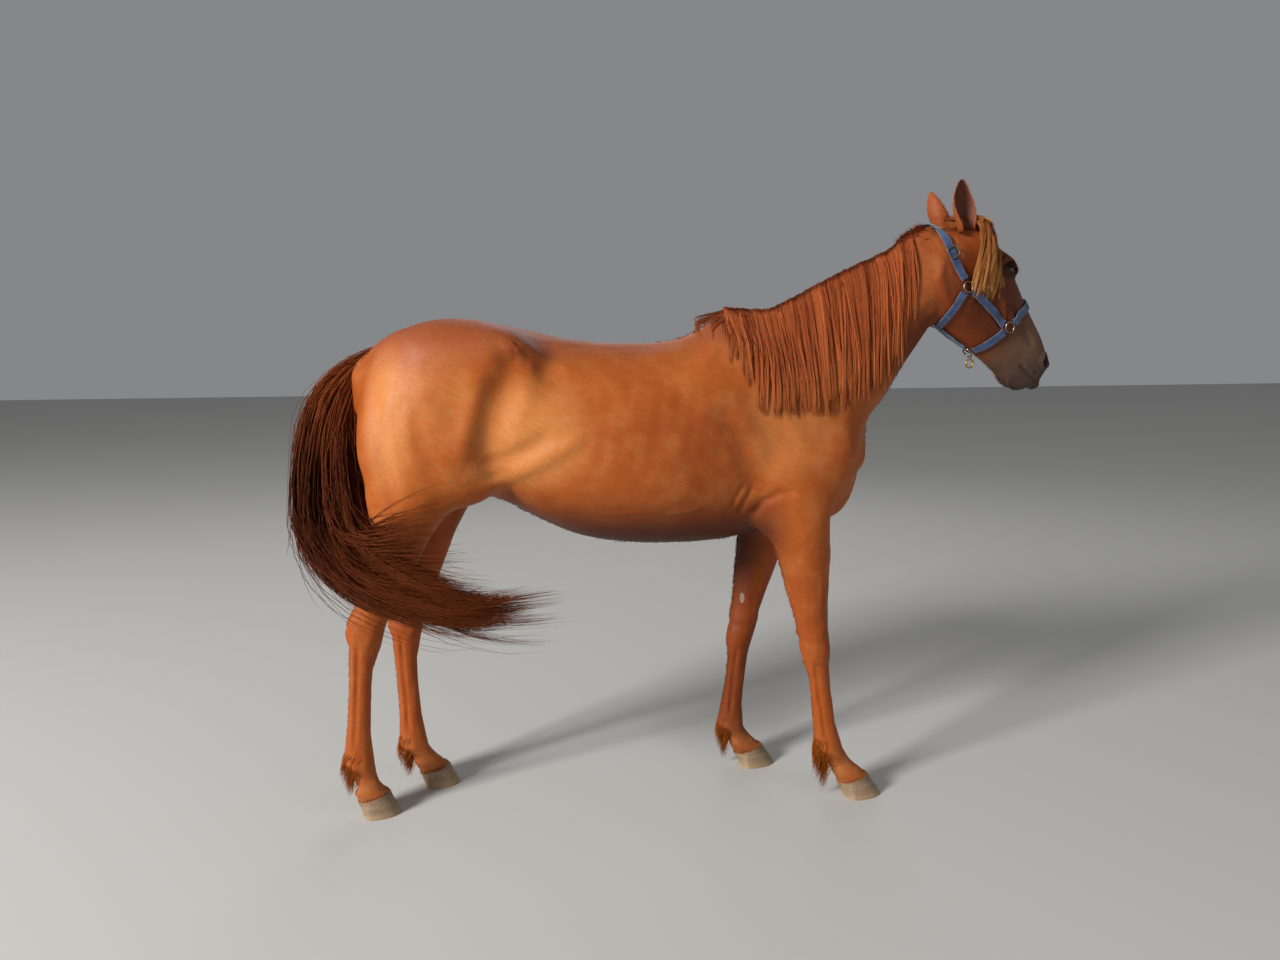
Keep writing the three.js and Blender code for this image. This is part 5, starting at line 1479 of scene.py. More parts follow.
def ear_locks(rng, ear):
    """Fine hair along the rims of an ear and across the foot of its hollow."""
    rings = ear_places(ear)
    _, _, axis, opens, across = ear_frame(ear)
    roots, outs = [], []
    for _ in range(EAR_HAIRS):
        rim = rng.random() < 0.6
        ring = rings[rng.integers(2, EAR_RINGS - 2 if rim else EAR_RINGS // 2)]
        side = rng.integers(0, 2)
        if rim:
            roots.append(ring[0 if side else EAR_ARC - 1])
            outs.append(unit(opens + (roots[-1] - ring[EAR_ARC // 2]) * 0.012))
        else:
            roots.append(ring[EAR_ARC + rng.integers(1, EAR_ARC - 1)])
            outs.append(unit(opens + across * rng.normal(0, 0.3)))
    lies = np.tile(axis, (len(roots), 1))
    return short_locks(rng, np.array(roots), np.array(outs), lies, 7.0, 0.35)


def lash_locks(rng, side):
    """Lashes along the upper lid of one eye."""
    centre, front, up, out = eye_axes(side)
    a = rng.uniform(-EYE_HALF * 0.8, EYE_HALF * 0.8, LASHES)
    b = EYE_UPPER * (1 - (a / EYE_HALF) ** 2) ** UPPER_POWER + 0.6
    c = np.sqrt(np.clip((EYE_RADIUS + 2.0) ** 2 - a * a - b * b, 9, None))
    roots = centre + a[:, None] * front + b[:, None] * up + c[:, None] * out
    outs = unit_rows(np.tile(out, (len(a), 1)) + a[:, None] * front * 0.02)
    lies = np.tile(front * 0.25 - up, (len(a), 1))
    return short_locks(rng, roots, outs, lies, 11.0, 1.1)


def build_short_hair(surface, unwrap, rng, hair, coat):
    """Short hair where it breaks the form: fringes, hairlines, ear rims and lashes."""
    material = short_material(coat)
    hairlines = [coronet_locks(rng, surface, coronet) for coronet, _, _ in HOOVES.values()]
    body = [fringe(rng, surface, row) for row in BODY_FRINGES] + hairlines
    head = [fringe(rng, surface, row, head_place, head_way) for row in HEAD_FRINGES]
    head += [ear_locks(rng, ear) for ear in EARS.values()]
    lashes = [lash_locks(rng, side) for side in SIDES]
    crest = [fringe(rng, surface, BRIDLE_PATH)]
    dark = hair_material("lashes", hair.tail_dark, hair.tail_dark, hair.tail_light)
    bridle = hair_material("bridle_path", hair.mane_dark, hair.mane_light, hair.mane_light)
    for name, groups, width, look in (("body", body, 1.5, material),
                                      ("head", head, 0.9, material),
                                      ("crest", crest, 1.6, bridle),
                                      ("lashes", lashes, 0.8, dark)):
        paths = np.concatenate(groups)
        tones = np.clip(rng.normal(0.5, 0.3, len(paths)), 0, 1)
        widths = taper(rng, len(paths), SHORT_STEPS, width)
        ways = np.broadcast_to((0.2, -0.9, 0.3), paths.shape)
        yield lock_piece(f"short_hair_{name}", paths, SHORT_STEPS, widths, ways, tones, unwrap,
                         look)


# ---------------------------------------------------------------- ears, eyes and hooves

# Root and tip in the axes of the head, and how far the ear opens forward and outward.
EARS = {
    "right": {"side": -1, "root": (34, 67, 58), "tip": (-95, 132, 78), "opens": (0.22, 1.0),
              "broad": 1.12},
    "left": {"side": 1, "root": (30, 62, 58), "tip": (-87, 116, 86), "opens": (1.0, 0.14),
             "broad": 1.0},
}
EAR_WIDTHS = (26, 33, 38, 38, 33, 23, 8)
EAR_SPREADS = (115, 100, 84, 72, 66, 62, 60)
EAR_SET_BACK = 0.4
EAR_RINGS = 26
EAR_ARC = 15
EAR_SUNK = 14

CORNEA_RISE = 1.1
PUPIL_LONG, PUPIL_HIGH = 9, 5

HOOF_RINGS = 14
HOOF_SIDES = 56
HOOF_TOE_RISE = 14
HOOF_TOP = {"toe": 52, "heel": 46, "half": 44}
HOOF_HEEL = 28
# The middle of the hairline, how far ahead of it the toe lies, and half the width.
HOOVES = {
    "fore_right": ((800, -146, 60), 102, 62), "fore_left": ((506, 134, 58), 102, 62),
    "hind_right": ((-768, -96, 62), 88, 56), "hind_left": ((-596, 106, 58), 88, 56),
}
HOOF_CLEFT = 7.0
HOOF_TUCK = 3.2  # how far the top ring is drawn in under the skin
# rings of the sole: share of the foot's outline, and height
HOOF_SOLE = ((0.93, 0.0), (0.86, 4.0), (0.5, 6.0))


def ear_frame(ear):
    """An ear's root and tip, and its axes: along it, the way it opens, and across."""
    hand = ear["side"]
    root, tip = [on_head(*ear[end][:2], ear[end][2] * hand) for end in ("root", "tip")]
    axis = unit(tip - root)
    forward = np.array((math.cos(HEAD_TURN), math.sin(HEAD_TURN), 0.0))
    opens = forward * ear["opens"][0] + HEAD_SIDE * ear["opens"][1] * hand
    opens = unit(opens - axis * (opens @ axis))
    return root, tip, axis, opens, np.cross(axis, opens)


def ear_places(ear):
    """Rings of a cupped leaf: up its back, then down its hollow."""
    root, tip, axis, opens, across = ear_frame(ear)
    rings = []
    knots = np.linspace(0, 1, len(EAR_WIDTHS))
    for share in np.arange(EAR_RINGS) / (EAR_RINGS - 1):
        half = np.interp(share, knots, EAR_WIDTHS) * ear["broad"]
        spread = math.radians(np.interp(share, knots, EAR_SPREADS))
        centre = root + (tip - root) * share - axis * (0 if share else EAR_SUNK)
        outer = half / math.sin(min(spread, math.pi / 2))
        ring = []
        for inward in (False, True):
            for turn in np.linspace(-1, 1, EAR_ARC) * (-spread if inward else spread):
                rim = 1 - abs(turn / spread) ** 6
                thick = (1.2 + 3.0 * rim) * min(1.0, outer / 14)
                radius = outer - (thick if inward else 0.3 * (1 - rim))
                ring.append(centre + opens * (outer * EAR_SET_BACK - math.cos(turn) * radius)
                            + across * math.sin(turn) * radius)
        rings.append(ring)
    return np.array(rings)


def build_ears(material):
    ears = []
    for name, ear in EARS.items():
        rings = ear_places(ear)
        sides = rings.shape[1]
        thing = mesh_piece(f"ear_shell_{name}", rings.reshape(-1, 3),
                           ring_faces(len(rings), sides), material)
        inner = np.zeros((EAR_RINGS, sides))
        inner[:, EAR_ARC + 1:-1] = 1.0
        set_mark(thing.data, "inner", inner.ravel())
        ears.append(thing)
    return ears


def build_eye(side):
    centre, _, _, out = eye_axes(side)
    bpy.ops.mesh.primitive_uv_sphere_add(
        segments=48, ring_count=28, radius=EYE_RADIUS * MM, location=metres(centre))
    eye = bpy.context.view_layer.objects.active
    eye.name = f"eyeball_{SIDE_WORDS[side]}"
    bpy.ops.object.transform_apply(location=True, rotation=True, scale=True)
    places = vertices(eye)
    cornea = ease(((places - centre) @ out / EYE_RADIUS - 0.80) / 0.2)
    set_vertices(eye, places + out * (cornea * CORNEA_RISE)[:, None])
    bpy.ops.object.shade_smooth()
    eye.data.materials.append(eye_material(side))
    return eye


def eye_material(side):
    """A dark eye with a long pupil lying level, and a darker rim."""
    centre, front, up, _ = eye_axes(side)
    graph = Graph(f"eye_{SIDE_WORDS[side]}")
    a, b = graph.toward(front, centre), graph.toward(up, centre)
    away = a.maths("SQRT", a * a + b * b)
    pupil = (a * a * (1 / PUPIL_LONG ** 2) + b * b * (1 / PUPIL_HIGH ** 2)).over(0.75, 1.15)
    iris = graph.mix(graph.noise(220.0, 3.0).over(0.3, 0.7), rgb("2a150c"), rgb("4a2a16"))
    colour = graph.mix(pupil, rgb("060505"), iris)
    colour = graph.mix(away.over(15.5, 17.5), colour, rgb("1a0f0c"))
    return graph.finish(colour, 0.1, **{"Coat Weight": 0.25, "Coat Roughness": 0.03,
                                        "Specular IOR Level": 0.4})


def hoof_material(look):
    graph = Graph("hoof")
    rings = graph.grain((0.09, 0.09, 0.0065))
    grain = graph.grain((0.0035, 0.0035, 0.05))
    colour = graph.mix(rings.over(0.15, 0.8), look.hoof_dark, look.hoof)
    colour = graph.layers(colour, look,
                          ("hoof_dust", grain.over(0.35, 0.75) * 0.5),
                          ("hoof_dust", graph.z.under(4, 26) * 0.6),
                          ("hoof_dark", graph.z.over(44, 66) * 0.6))
    return graph.finish(colour, grain * 0.2 + 0.42,
                        graph.bump(rings * 0.7 + grain * 0.3, 0.5, 0.0015))


def build_hoof(name, coronet, toe, half, material):
    """Rings down the wall, cleft at the heel, then inward over the sole."""
    x, y, z = coronet
    turn = np.arange(HOOF_SIDES) / HOOF_SIDES * 2 * math.pi
    c, s = np.cos(turn), np.sin(turn)
    top = np.where(c > 0, HOOF_TOP["toe"], HOOF_TOP["heel"])
    foot = np.where(c > 0, toe, HOOF_HEEL)
    cleft = HOOF_CLEFT * ridge(turn, math.pi, 0.20)
    rings = []
    for down in np.arange(HOOF_RINGS + 1) / HOOF_RINGS:
        growth = 0.5 * math.sin(down * 30) * (down > 0.15)
        extra = 1.8 * ridge(down, 0.08, 0.08) + growth - HOOF_TUCK * ridge(down, 0, 0.05)
        out = top + (foot - top) * down + extra - cleft
        wide = HOOF_TOP["half"] + (half - HOOF_TOP["half"]) * down + extra
        height = (z + HOOF_TOE_RISE * c) * (1 - down) - (0 if down else 1.2)
        rings.append(np.stack([x + out * c, y + wide * s, np.maximum(height, 0.0)], axis=1))
    middle = np.array((x + (toe - HOOF_HEEL) * 0.45, y, 0.0))
    sole = rings[-1]
    for share, height in HOOF_SOLE:
        rings.append(middle + (sole - middle) * share)
        rings[-1][:, 2] = height
    centre = rings[0].mean(axis=0)
    rings.insert(0, centre + (rings[0] - centre) * 0.8 + (0, 0, 4))
    piece = mesh_piece(f"hoof_{name}", np.concatenate(rings),
                       ring_faces(len(rings), HOOF_SIDES), material)
    smooth_by_angle(piece, 40)
    return piece


# ---------------------------------------------------------------- head collar

WEB_WIDTH = 26.0
WEB_THICK = 3.0
WEB_LIFT = 5.5
POLL_LIFT = 9.0
RING_RADIUS = 17.0
RING_WIRE = 3.0
RING_LIFT = 8.0
CHEEK_RING = (190, -50, 84)
SIDE_RING = (405, 18, 62)
CROWN_PATH = [(66, -34, 84), (10, -6, 72), (-20, 34, 44), (-32, 48, 0)]
THROAT_PATH = [(226, -120, 66), (262, -170, 0)]
NOSE_PATH = [(400, 110, 52), (396, 150, 0)]
CHIN_PATH = [(405, -62, 56), (402, -112, 0)]
CHIN_RING = {"radius": 18, "lift": 13, "slack": 6}
LOOSE_RING = {"radius": 14, "drop": 22}
BUCKLE = {"radius": 17, "lift": 15, "wire": 2.6}
AXIS_RISE = -50
WEB_STEP = 7.0
LOOP_STEPS = 44
WIRE_SIDES = 10


def lifted(surface, place, lift):
    """The point that lies a lift off the head, out from its middle line through a place."""
    along, up, side = place
    axis = on_head(along, AXIS_RISE, 0)
    out = unit(on_head(along, up, side) - axis)
    hit, way = surface.cast(axis, out)
    reach = (lift + SKIN_DEPTH) / max(abs(way @ out), 0.55)
    return hit + out * reach, way * np.sign(way @ out)


def smooth_rows(rows, rounds):
    rows = np.array(rows, dtype=float)
    for _ in range(rounds):
        rows[1:-1] = rows[1:-1] * 0.5 + (rows[:-2] + rows[2:]) * 0.25
    return rows


def band_path(surface, anchors, lift, trims):
    """Places and outward ways along a band laid over the head."""
    rows = np.array(anchors, dtype=float)
    length = np.linalg.norm(np.diff(rows, axis=0), axis=1).sum()
    count = max(int(length / WEB_STEP), 6)
    shares = np.linspace(trims[0] / length, 1 - trims[1] / length, count)
    places, ways = zip(*[lifted(surface, row, lift) for row in curve_rows(rows, shares)])
    return smooth_rows(places, 2), unit_rows(smooth_rows(ways, 4))


def band_mesh(name, places, ways, material):
    """A band of webbing with rounded edges. Its map runs along and across it in metres."""
    tangent = unit_rows(np.gradient(places, axis=0))
    across = unit_rows(np.cross(tangent, ways))
    lift = np.cross(across, tangent)
    lift *= np.sign(np.sum(lift * ways, axis=1))[:, None]
    half, deep = WEB_WIDTH / 2, WEB_THICK / 2
    under = [(-half, 0), (-half + 0.7, -deep), (-half / 3, -deep), (half / 3, -deep),
             (half - 0.7, -deep)]
    section = under + [(-a, -b) for a, b in under]
    flat = np.stack([places + across * a + lift * b for a, b in section], axis=1)
    band = mesh_piece(name, flat.reshape(-1, 3), ring_faces(len(places), len(section)), material)
    run = np.concatenate([[0], np.cumsum(np.linalg.norm(np.diff(places, axis=0), axis=1))])
    marks = np.stack([
        np.repeat(run, len(section)), np.tile([a for a, _ in section], len(places))], axis=1)
    corners = read(band.data.loops, "vertex_index", 1, np.int64)[:, 0]
    layer = band.data.uv_layers.new(name="Weave")
    layer.data.foreach_set("uv", (marks[corners] * MM).ravel())
    smooth_by_angle(band, 35)
    return band


def web_material(look):
    graph = Graph("webbing")
    along, across, _ = graph.parts(graph.node("ShaderNodeUVMap", {"uv_map": "Weave"}))

    def wave(value, period):
        return value.maths("SINE", value * (2 * math.pi / period)) * 0.5 + 0.5

    rib = wave(along + across * 0.5, 0.0026)
    cord = wave(across, 0.0022)
    edge = across.maths("ABSOLUTE", across)
    stitch = edge.band(0.0088, 0.0092, 0.0100, 0.0104) * wave(along, 0.0062).over(0.35, 0.5)
    worn = graph.noise(38.0, 4.0)
    colour = graph.mix(worn.over(0.35, 0.7), look.web_dark, look.web)
    colour = graph.layers(
        colour, look,
        ("web_worn", edge.over(0.0108, 0.0128) * worn.over(0.3, 0.6) * 0.7),
        ("web_worn", stitch * 0.6),
        ("web_dark", rib.rest() * 0.25))
    return graph.finish(colour, 0.82, graph.bump(rib * 0.5 + cord * 0.5 + stitch, 0.5, 0.0006),
                        **{"Sheen Weight": 0.3, "Specular IOR Level": 0.3})


def metal_material(name, colour, tarnish):
    graph = Graph(name)
    wear = graph.noise(120.0, 3.0)
    colour = graph.mix(wear.over(0.4, 0.7) * 0.6, colour, tarnish)
    return graph.finish(colour, wear * 0.25 + 0.2, Metallic=1.0)


def wire_loop(name, centre, axes, radius, material, square=2.0, wire=RING_WIRE):
    """A closed loop of round wire, with its corners squared by a power above two."""
    first, second = axes
    loop = []
    for turn in np.arange(LOOP_STEPS) / LOOP_STEPS * 2 * math.pi:
        c, s = math.cos(turn), math.sin(turn)
        reach = radius / (abs(c) ** square + abs(s) ** square) ** (1 / square)
        loop.append(centre + first * c * reach + second * s * reach)
    loop = np.array(loop)
    tangent = unit_rows(np.roll(loop, -1, axis=0) - np.roll(loop, 1, axis=0))
    normal = np.cross(first, second)
    side = np.cross(tangent, normal)
    flat = np.stack([loop + side * math.cos(turn) * wire + normal * math.sin(turn) * wire
                     for turn in np.arange(WIRE_SIDES) / WIRE_SIDES * 2 * math.pi], axis=1)
    return mesh_piece(name, flat.reshape(-1, 3),
                      ring_faces(LOOP_STEPS, WIRE_SIDES, closed=True), material)


def cross_axes(out, toward):
    first = unit(toward - out * (toward @ out))
    return first, np.cross(out, first)


def mirrored(path, side):
    return [(a, u, v * side) for a, u, v in path]


def across_head(path):
    return mirrored(path, -1) + mirrored(path, 1)[::-1][1:]


def build_halter(surface, look):
    """Every band and ring of the head collar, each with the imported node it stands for."""
    web = web_material(look)
    steel = metal_material("ring_metal", look.ring, look.tarnish)
    brass = metal_material("loose_brass", look.brass, look.tarnish)
    trim = RING_RADIUS + RING_WIRE + 0.6
    chin_radius = CHIN_RING["radius"]
    chin_trim = chin_radius + RING_WIRE

    def band(name, anchors, trims, lift=WEB_LIFT):
        places, ways = band_path(surface, anchors, lift, trims)
        return band_mesh(f"band_{name}", places, ways, web), f"halter_{name}", "webbing"

    def ring(name, *args, **settings):
        return wire_loop(f"loop_{name}", *args, **settings), f"halter_{name}", "metal"

    for side, word in SIDE_WORDS.items():
        cheek, nose = mirrored([CHEEK_RING, SIDE_RING], side)
        for name, at in (("cheek_ring", cheek), ("side_ring", nose)):
            centre, out = lifted(surface, at, RING_LIFT)
            yield ring(f"{name}_{word}", centre, cross_axes(out, HEAD_ALONG + HEAD_UP),
                       RING_RADIUS, steel, square=2.6)
        yield band(f"cheek_{word}", [cheek, nose], (trim, trim))
        yield band(f"chin_{word}", [nose, *mirrored(CHIN_PATH, side)], (trim, chin_trim + 0.6))
    yield band("crown", across_head([CHEEK_RING, *CROWN_PATH]), (trim, trim), POLL_LIFT)
    yield band("throat", across_head([CHEEK_RING, *THROAT_PATH]), (trim, trim))
    yield band("nose", across_head([SIDE_RING, *NOSE_PATH]), (trim, trim))
    yield band("jaw", [THROAT_PATH[-1], CHIN_PATH[-1]],
               (WEB_WIDTH / 2 + 0.6, chin_trim + CHIN_RING["slack"]))

    chin, _ = lifted(surface, CHIN_PATH[-1], CHIN_RING["lift"])
    yield ring("chin_ring", chin, (HEAD_ALONG, HEAD_SIDE), chin_radius, steel)
    hung = chin + HEAD_ALONG * chin_radius - np.array((0, 0, LOOSE_RING["drop"]))
    yield ring("loose_ring", hung, (HEAD_ALONG, HEAD_UP), LOOSE_RING["radius"], brass)
    (centre, out), (below, _) = [lifted(surface, at, BUCKLE["lift"])
                                 for at in mirrored([CROWN_PATH[0], CHEEK_RING], -1)]
    yield ring("buckle", centre, cross_axes(out, below - centre), BUCKLE["radius"], steel,
               square=5.0, wire=BUCKLE["wire"])


# ---------------------------------------------------------------- settings

def colour_setting(name, description, code):
    return bpy.props.FloatVectorProperty(
        name=name, description=description, subtype="COLOR", size=4, min=0, max=1,
        default=rgb(code))


def number_setting(name, description, default, **limits):
    return bpy.props.FloatProperty(
        name=name, description=description, default=default, **limits)


def count_setting(name, description, default, **limits):
    return bpy.props.IntProperty(name=name, description=description, default=default, **limits)


class HORSE_PG_stage(bpy.types.PropertyGroup):
    """Floor, light and camera."""

    floor: colour_setting("Floor", "Colour of the floor", "b9b7b2")
    backdrop: colour_setting("Backdrop", "Colour of the air around", "d3d6da")
    backdrop_light: number_setting(
        "Backdrop light", "Strength of the light from all round", 0.36, min=0, unit="NONE")
    key_light: number_setting(
        "Key light", "Power of the main lamp, from the left of the camera", 1980, min=0,
        unit="POWER")
    lens: number_setting("Lens", "Focal length of the camera", 27.0, min=10.0, unit="CAMERA")
    eye_height: number_setting(
        "Camera height", "Height of the camera over the floor", 1.48, unit="LENGTH")


class HORSE_PG_coat(bpy.types.PropertyGroup):
    """Colours of the short coat and the bare skin, and of its painted highlights and painted
    shade.
    """

    coat: colour_setting("Coat", "Main colour of the coat", "a85a21")
    coat_deep: colour_setting("Deep coat", "Darker parts of the coat", "8a4213")
    # golden hair, and the colour of the painted highlights
    gold_and_highlight: colour_setting("Golden coat", "Where the coat shines gold", "c08046")
    # painted shade under the belly, on the throat and the cheeks, partly the cheeks' darker hair
    painted_shade: colour_setting("Shade", "Under the belly, the cheeks and the throat", "4c1f08")
    callus: colour_setting("Callus", "Bare horn inside the forearms", "8d7d70")
    coat_top: colour_setting("Topline", "Along the back and rump", "7c422c")
    legs: colour_setting("Legs", "Lower legs", "914614")
    pastern: colour_setting("Pasterns", "Just over the hooves", "a46a3c")
    muzzle: colour_setting("Muzzle", "Hair of the muzzle", "5e4837")
    nasal: colour_setting("Nose bone", "Front of the nose", "6d5440")
    bare_skin: colour_setting("Bare skin", "Lips and nostril rims", "3b2e29")
    dark_skin: colour_setting("Dark skin", "Round the eyes, mouth and nostrils", "1d1411")
    # darker hair of the ear's hollow, with painted shade in it
    ear_hollow_shade: colour_setting("Ear inside", "Hollow of the ears", "522c28")


class HORSE_PG_hair(bpy.types.PropertyGroup):
    """Colours and numbers of the long hair."""

    mane_dark: colour_setting("Mane dark", "Darkest locks of the mane", "4f1e0c")
    mane_light: colour_setting("Mane light", "Lightest locks of the mane", "a95730")
    mane_tip: colour_setting("Mane tips", "Tips of the mane", "b8693a")
    tail_dark: colour_setting("Tail dark", "Darkest locks of the tail", "200c05")
    tail_light: colour_setting("Tail light", "Lightest locks of the tail", "67321d")
    tail_tip: colour_setting("Tail tips", "Tips of the tail", "74391d")
    # the tail's top: partly redder hair at the dock, partly a painted highlight
    tail_top: colour_setting("Tail top", "The tail where it leaves the rump", "9c4f28")
    forelock_dark: colour_setting("Forelock dark", "Darkest locks of the forelock", "6c3218")
    forelock_light: colour_setting("Forelock light", "Lightest locks of it", "bb7440")
    forelock_tip: colour_setting("Forelock tips", "Tips of the forelock", "d69a5a")
    tuft_dark: colour_setting("Fetlock dark", "Darkest hair behind the fetlocks", "87410f")
    tuft_light: colour_setting("Fetlock light", "Lightest hair behind the fetlocks", "a4561c")
    tuft_tip: colour_setting("Fetlock tips", "Tips of the hair behind the fetlocks", "63300f")
    mane_strands: count_setting("Mane strands", "Hanging strands of the mane", 290, min=10)
    mane_locks: count_setting("Mane locks", "Locks in all the mane", 7800, min=300, max=9600)
    tail_strands: count_setting("Tail strands", "Strands of the tail", 230, min=10)
    tail_locks: count_setting("Tail locks", "Locks in all the tail", 7600, min=400, max=9600)
    forelock_locks: count_setting("Forelock locks", "Locks of the forelock", 3100, min=100)
    tuft_locks: count_setting("Fetlock locks", "Locks behind each fetlock", 520, min=50)
    lock_width: number_setting(
        "Lock width", "Width of a lock at its root, in millimetres", 2.7, min=1.0, max=8.0)


class HORSE_PG_fittings(bpy.types.PropertyGroup):
    """Colours of the hooves and the head collar."""

    hoof: colour_setting("Hoof", "Main colour of the hoof wall", "8f755a")
    hoof_dark: colour_setting("Hoof dark", "Darker rings and the coronet", "715c48")
    hoof_dust: colour_setting("Hoof dust", "Dust and wear on the hoof", "a98c6a")
    web: colour_setting("Webbing", "Main colour of the webbing", "3a5072")
    web_dark: colour_setting("Webbing dark", "Darker weave", "22365a")
    web_worn: colour_setting("Webbing worn", "Frayed edges and stitches", "728092")
    ring: colour_setting("Rings", "Steel of the rings", "857d70")
    brass: colour_setting("Brass", "Brass of the loose ring", "b58a4c")
    tarnish: colour_setting("Tarnish", "Worn places of the metal", "7d705c")


GROUPS = {
    "horse_stage": HORSE_PG_stage,
    "horse_coat": HORSE_PG_coat,
    "horse_hair": HORSE_PG_hair,
    "horse_fittings": HORSE_PG_fittings,
}


def dress(piece, nodes, slot):
    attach(piece, "root")
    if nodes:
        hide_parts(*nodes)


class Maker:
    """What the skin's operator hands on to the others."""

    skin = None
    unwrap = None

    @classmethod
    def surface(cls):
        """The dressed skin that hair and halter lie on."""
        if cls.skin is None:
            raise RuntimeError("Build the skin before what lies on it")
        return Surface(cls.skin)


# ---------------------------------------------------------------- operators

CAMERA_AT = (-209.7, -3100.8, 0.0)
CAMERA_YAW = math.radians(6.0)
CAMERA_PITCH = math.radians(7.8)
CAMERA_ROLL = math.radians(-0.5)
SENSOR = 36
FLOOR_SIZE = 60
LAMP_AIM = Vector((0, 0, 1.0))
# name, place, size, and power as a share of the main lamp's
LAMPS = (
    ("key", (-9.2, -6.0, 5.8), 2.6, 1.0),
    ("fill", (4.5, -5.0, 3.0), 3.5, 0.025),
    ("back", (0.5, 5.5, 4.5), 3.5, 0.03),
)


class HORSE_OT_stage(bpy.types.Operator):
    """Floor, lights and camera."""

    bl_idname = "horse.stage"
    bl_label = "Stage"

    def execute(self, context):
        chosen = context.scene.horse_stage
        context.scene.view_settings.view_transform = "Standard"
        bpy.ops.mesh.primitive_plane_add(size=FLOOR_SIZE, location=(0, 0, 0))
        floor = context.active_object
        floor.name = "floor"
        floor.data.materials.append(Graph("floor").finish(chosen.floor, 0.9))
        floor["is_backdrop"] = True
        world = bpy.data.worlds.new("studio")
        context.scene.world = world
        world.use_nodes = True
        air = world.node_tree.nodes["Background"]
        air.inputs[0].default_value = chosen.backdrop
        air.inputs[1].default_value = chosen.backdrop_light
        for name, place, size, share in LAMPS:
            lamp = bpy.data.lights.new(name, "AREA")
            lamp.size = size
            lamp.energy = chosen.key_light * share
            light = placed(name, lamp)
            light.location = place
            aim = LAMP_AIM - Vector(place)
            light.rotation_euler = aim.to_track_quat("-Z", "Y").to_euler()
        camera = placed("camera", bpy.data.cameras.new("camera"))
        camera.data.lens = chosen.lens
        camera.data.sensor_width = SENSOR
        camera.location = (*metres(CAMERA_AT)[:2], chosen.eye_height)
        turn = (Matrix.Rotation(-CAMERA_YAW, 4, "Z")
                @ Matrix.Rotation(math.pi / 2 - CAMERA_PITCH, 4, "X")
                @ Matrix.Rotation(CAMERA_ROLL, 4, "Z"))
        camera.rotation_euler = turn.to_euler()
        context.scene.camera = camera
        return {"FINISHED"}


class HORSE_OT_skin(bpy.types.Operator):
    """The skin of body, legs, head and ears."""

    bl_idname = "horse.skin"
    bl_label = "Skin"

    def execute(self, context):
        missing = [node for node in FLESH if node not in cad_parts]
        if missing:
            self.report({"ERROR"}, "No packed solid for " + ", ".join(missing))
            return {"CANCELLED"}
        material = coat_material(context.scene.horse_coat)
        skin = build_skin()
        Maker.unwrap = Unwrap(skin)
        skin.data.materials.clear()
        skin.data.materials.append(material)
        skin.data.attributes.new("inner", "FLOAT", "POINT")
        activate(skin, *build_ears(material))
        bpy.ops.object.join()
        Maker.skin = skin
        dress(skin, FLESH + ["ear_left", "ear_right"], "coat")
        return {"FINISHED"}


class HORSE_OT_eyes(bpy.types.Operator):
    """Two dark eyes."""

    bl_idname = "horse.eyes"
    bl_label = "Eyes"

    def execute(self, context):
        for side, word in SIDE_WORDS.items():
            dress(build_eye(side), [f"eye_{word}"], "eye")
        return {"FINISHED"}


class HORSE_OT_hooves(bpy.types.Operator):
    """Four hooves."""

    bl_idname = "horse.hooves"
    bl_label = "Hooves"

    def execute(self, context):
        material = hoof_material(context.scene.horse_fittings)
        for name, (coronet, toe, half) in HOOVES.items():
            dress(build_hoof(name, coronet, toe, half, material), [f"leg_{name}_hoof"], "hoof")
        return {"FINISHED"}


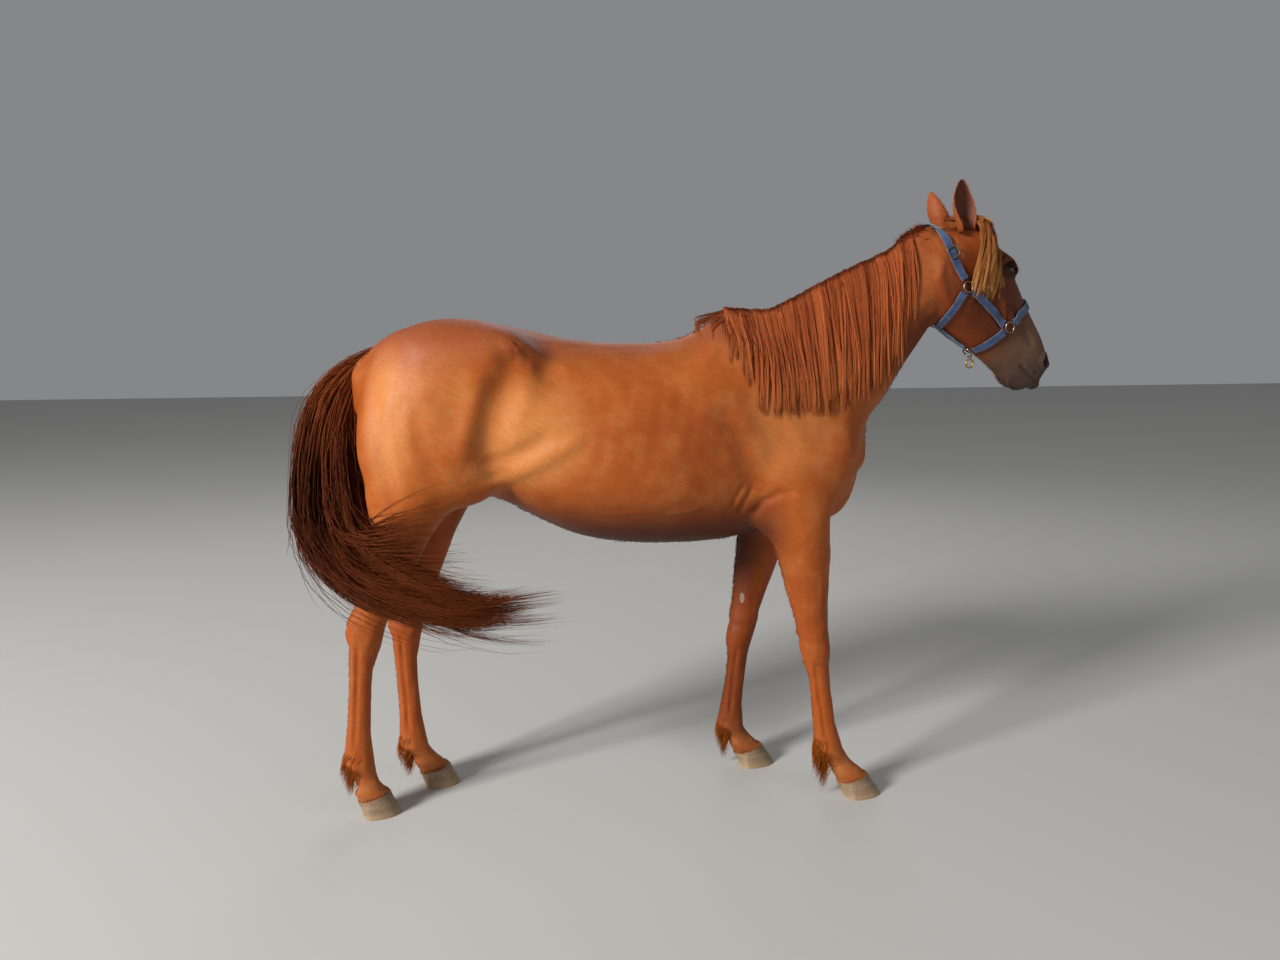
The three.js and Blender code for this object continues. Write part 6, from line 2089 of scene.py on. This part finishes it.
class HORSE_OT_hair(bpy.types.Operator):
    """Mane, forelock, tail and the tufts behind the fetlocks."""

    bl_idname = "horse.hair"
    bl_label = "Mane and tail"

    def execute(self, context):
        hair = context.scene.horse_hair
        given = (Maker.surface(), Maker.unwrap, np.random.default_rng(SEED), hair)
        for piece in build_mane(*given):
            dress(piece, ["mane"], "mane")
        for piece in build_tail(*given):
            dress(piece, ["tail_root", "tail_middle", "tail_end"], "tail")
        dress(build_forelock(*given), ["forelock"], "mane")
        for name, piece in build_tufts(*given):
            dress(piece, [f"leg_{name}_tuft"], "mane")
        for piece in build_short_hair(*given, context.scene.horse_coat):
            dress(piece, [], "coat")
        return {"FINISHED"}


class HORSE_OT_halter(bpy.types.Operator):
    """The webbing head collar and its rings."""

    bl_idname = "horse.halter"
    bl_label = "Halter"

    def execute(self, context):
        for piece, node, slot in build_halter(Maker.surface(), context.scene.horse_fittings):
            dress(piece, [node], slot)
        return {"FINISHED"}


class HORSE_PT_panel(bpy.types.Panel):
    """The steps that build the horse, in order."""

    bl_idname = "HORSE_PT_panel"
    bl_label = "Standing Horse"
    bl_space_type = "VIEW_3D"
    bl_region_type = "UI"
    bl_category = "Horse"

    def draw(self, context):
        for step in STEPS:
            self.layout.operator(step.bl_idname)
        for group in GROUPS:
            chosen = getattr(context.scene, group)
            for name in chosen.bl_rna.properties.keys():
                if name not in ("name", "rna_type"):
                    self.layout.prop(chosen, name)


STEPS = (
    HORSE_OT_stage, HORSE_OT_skin, HORSE_OT_eyes, HORSE_OT_hooves, HORSE_OT_hair,
    HORSE_OT_halter,
)
CLASSES = (*GROUPS.values(), *STEPS, HORSE_PT_panel)


def register():
    for kind in CLASSES:
        bpy.utils.register_class(kind)
    for name, group in GROUPS.items():
        setattr(bpy.types.Scene, name, bpy.props.PointerProperty(type=group))


def unregister():
    for name in GROUPS:
        delattr(bpy.types.Scene, name)
    for kind in reversed(CLASSES):
        bpy.utils.unregister_class(kind)


def main():
    register()
    bpy.ops.horse.stage()
    bpy.ops.horse.skin()
    bpy.ops.horse.eyes()
    bpy.ops.horse.hooves()
    bpy.ops.horse.hair()
    bpy.ops.horse.halter()
    [[list(corner) for corner in box] for box in (CAD_BOUNDS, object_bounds())]


if __name__ == "__main__":
    main()
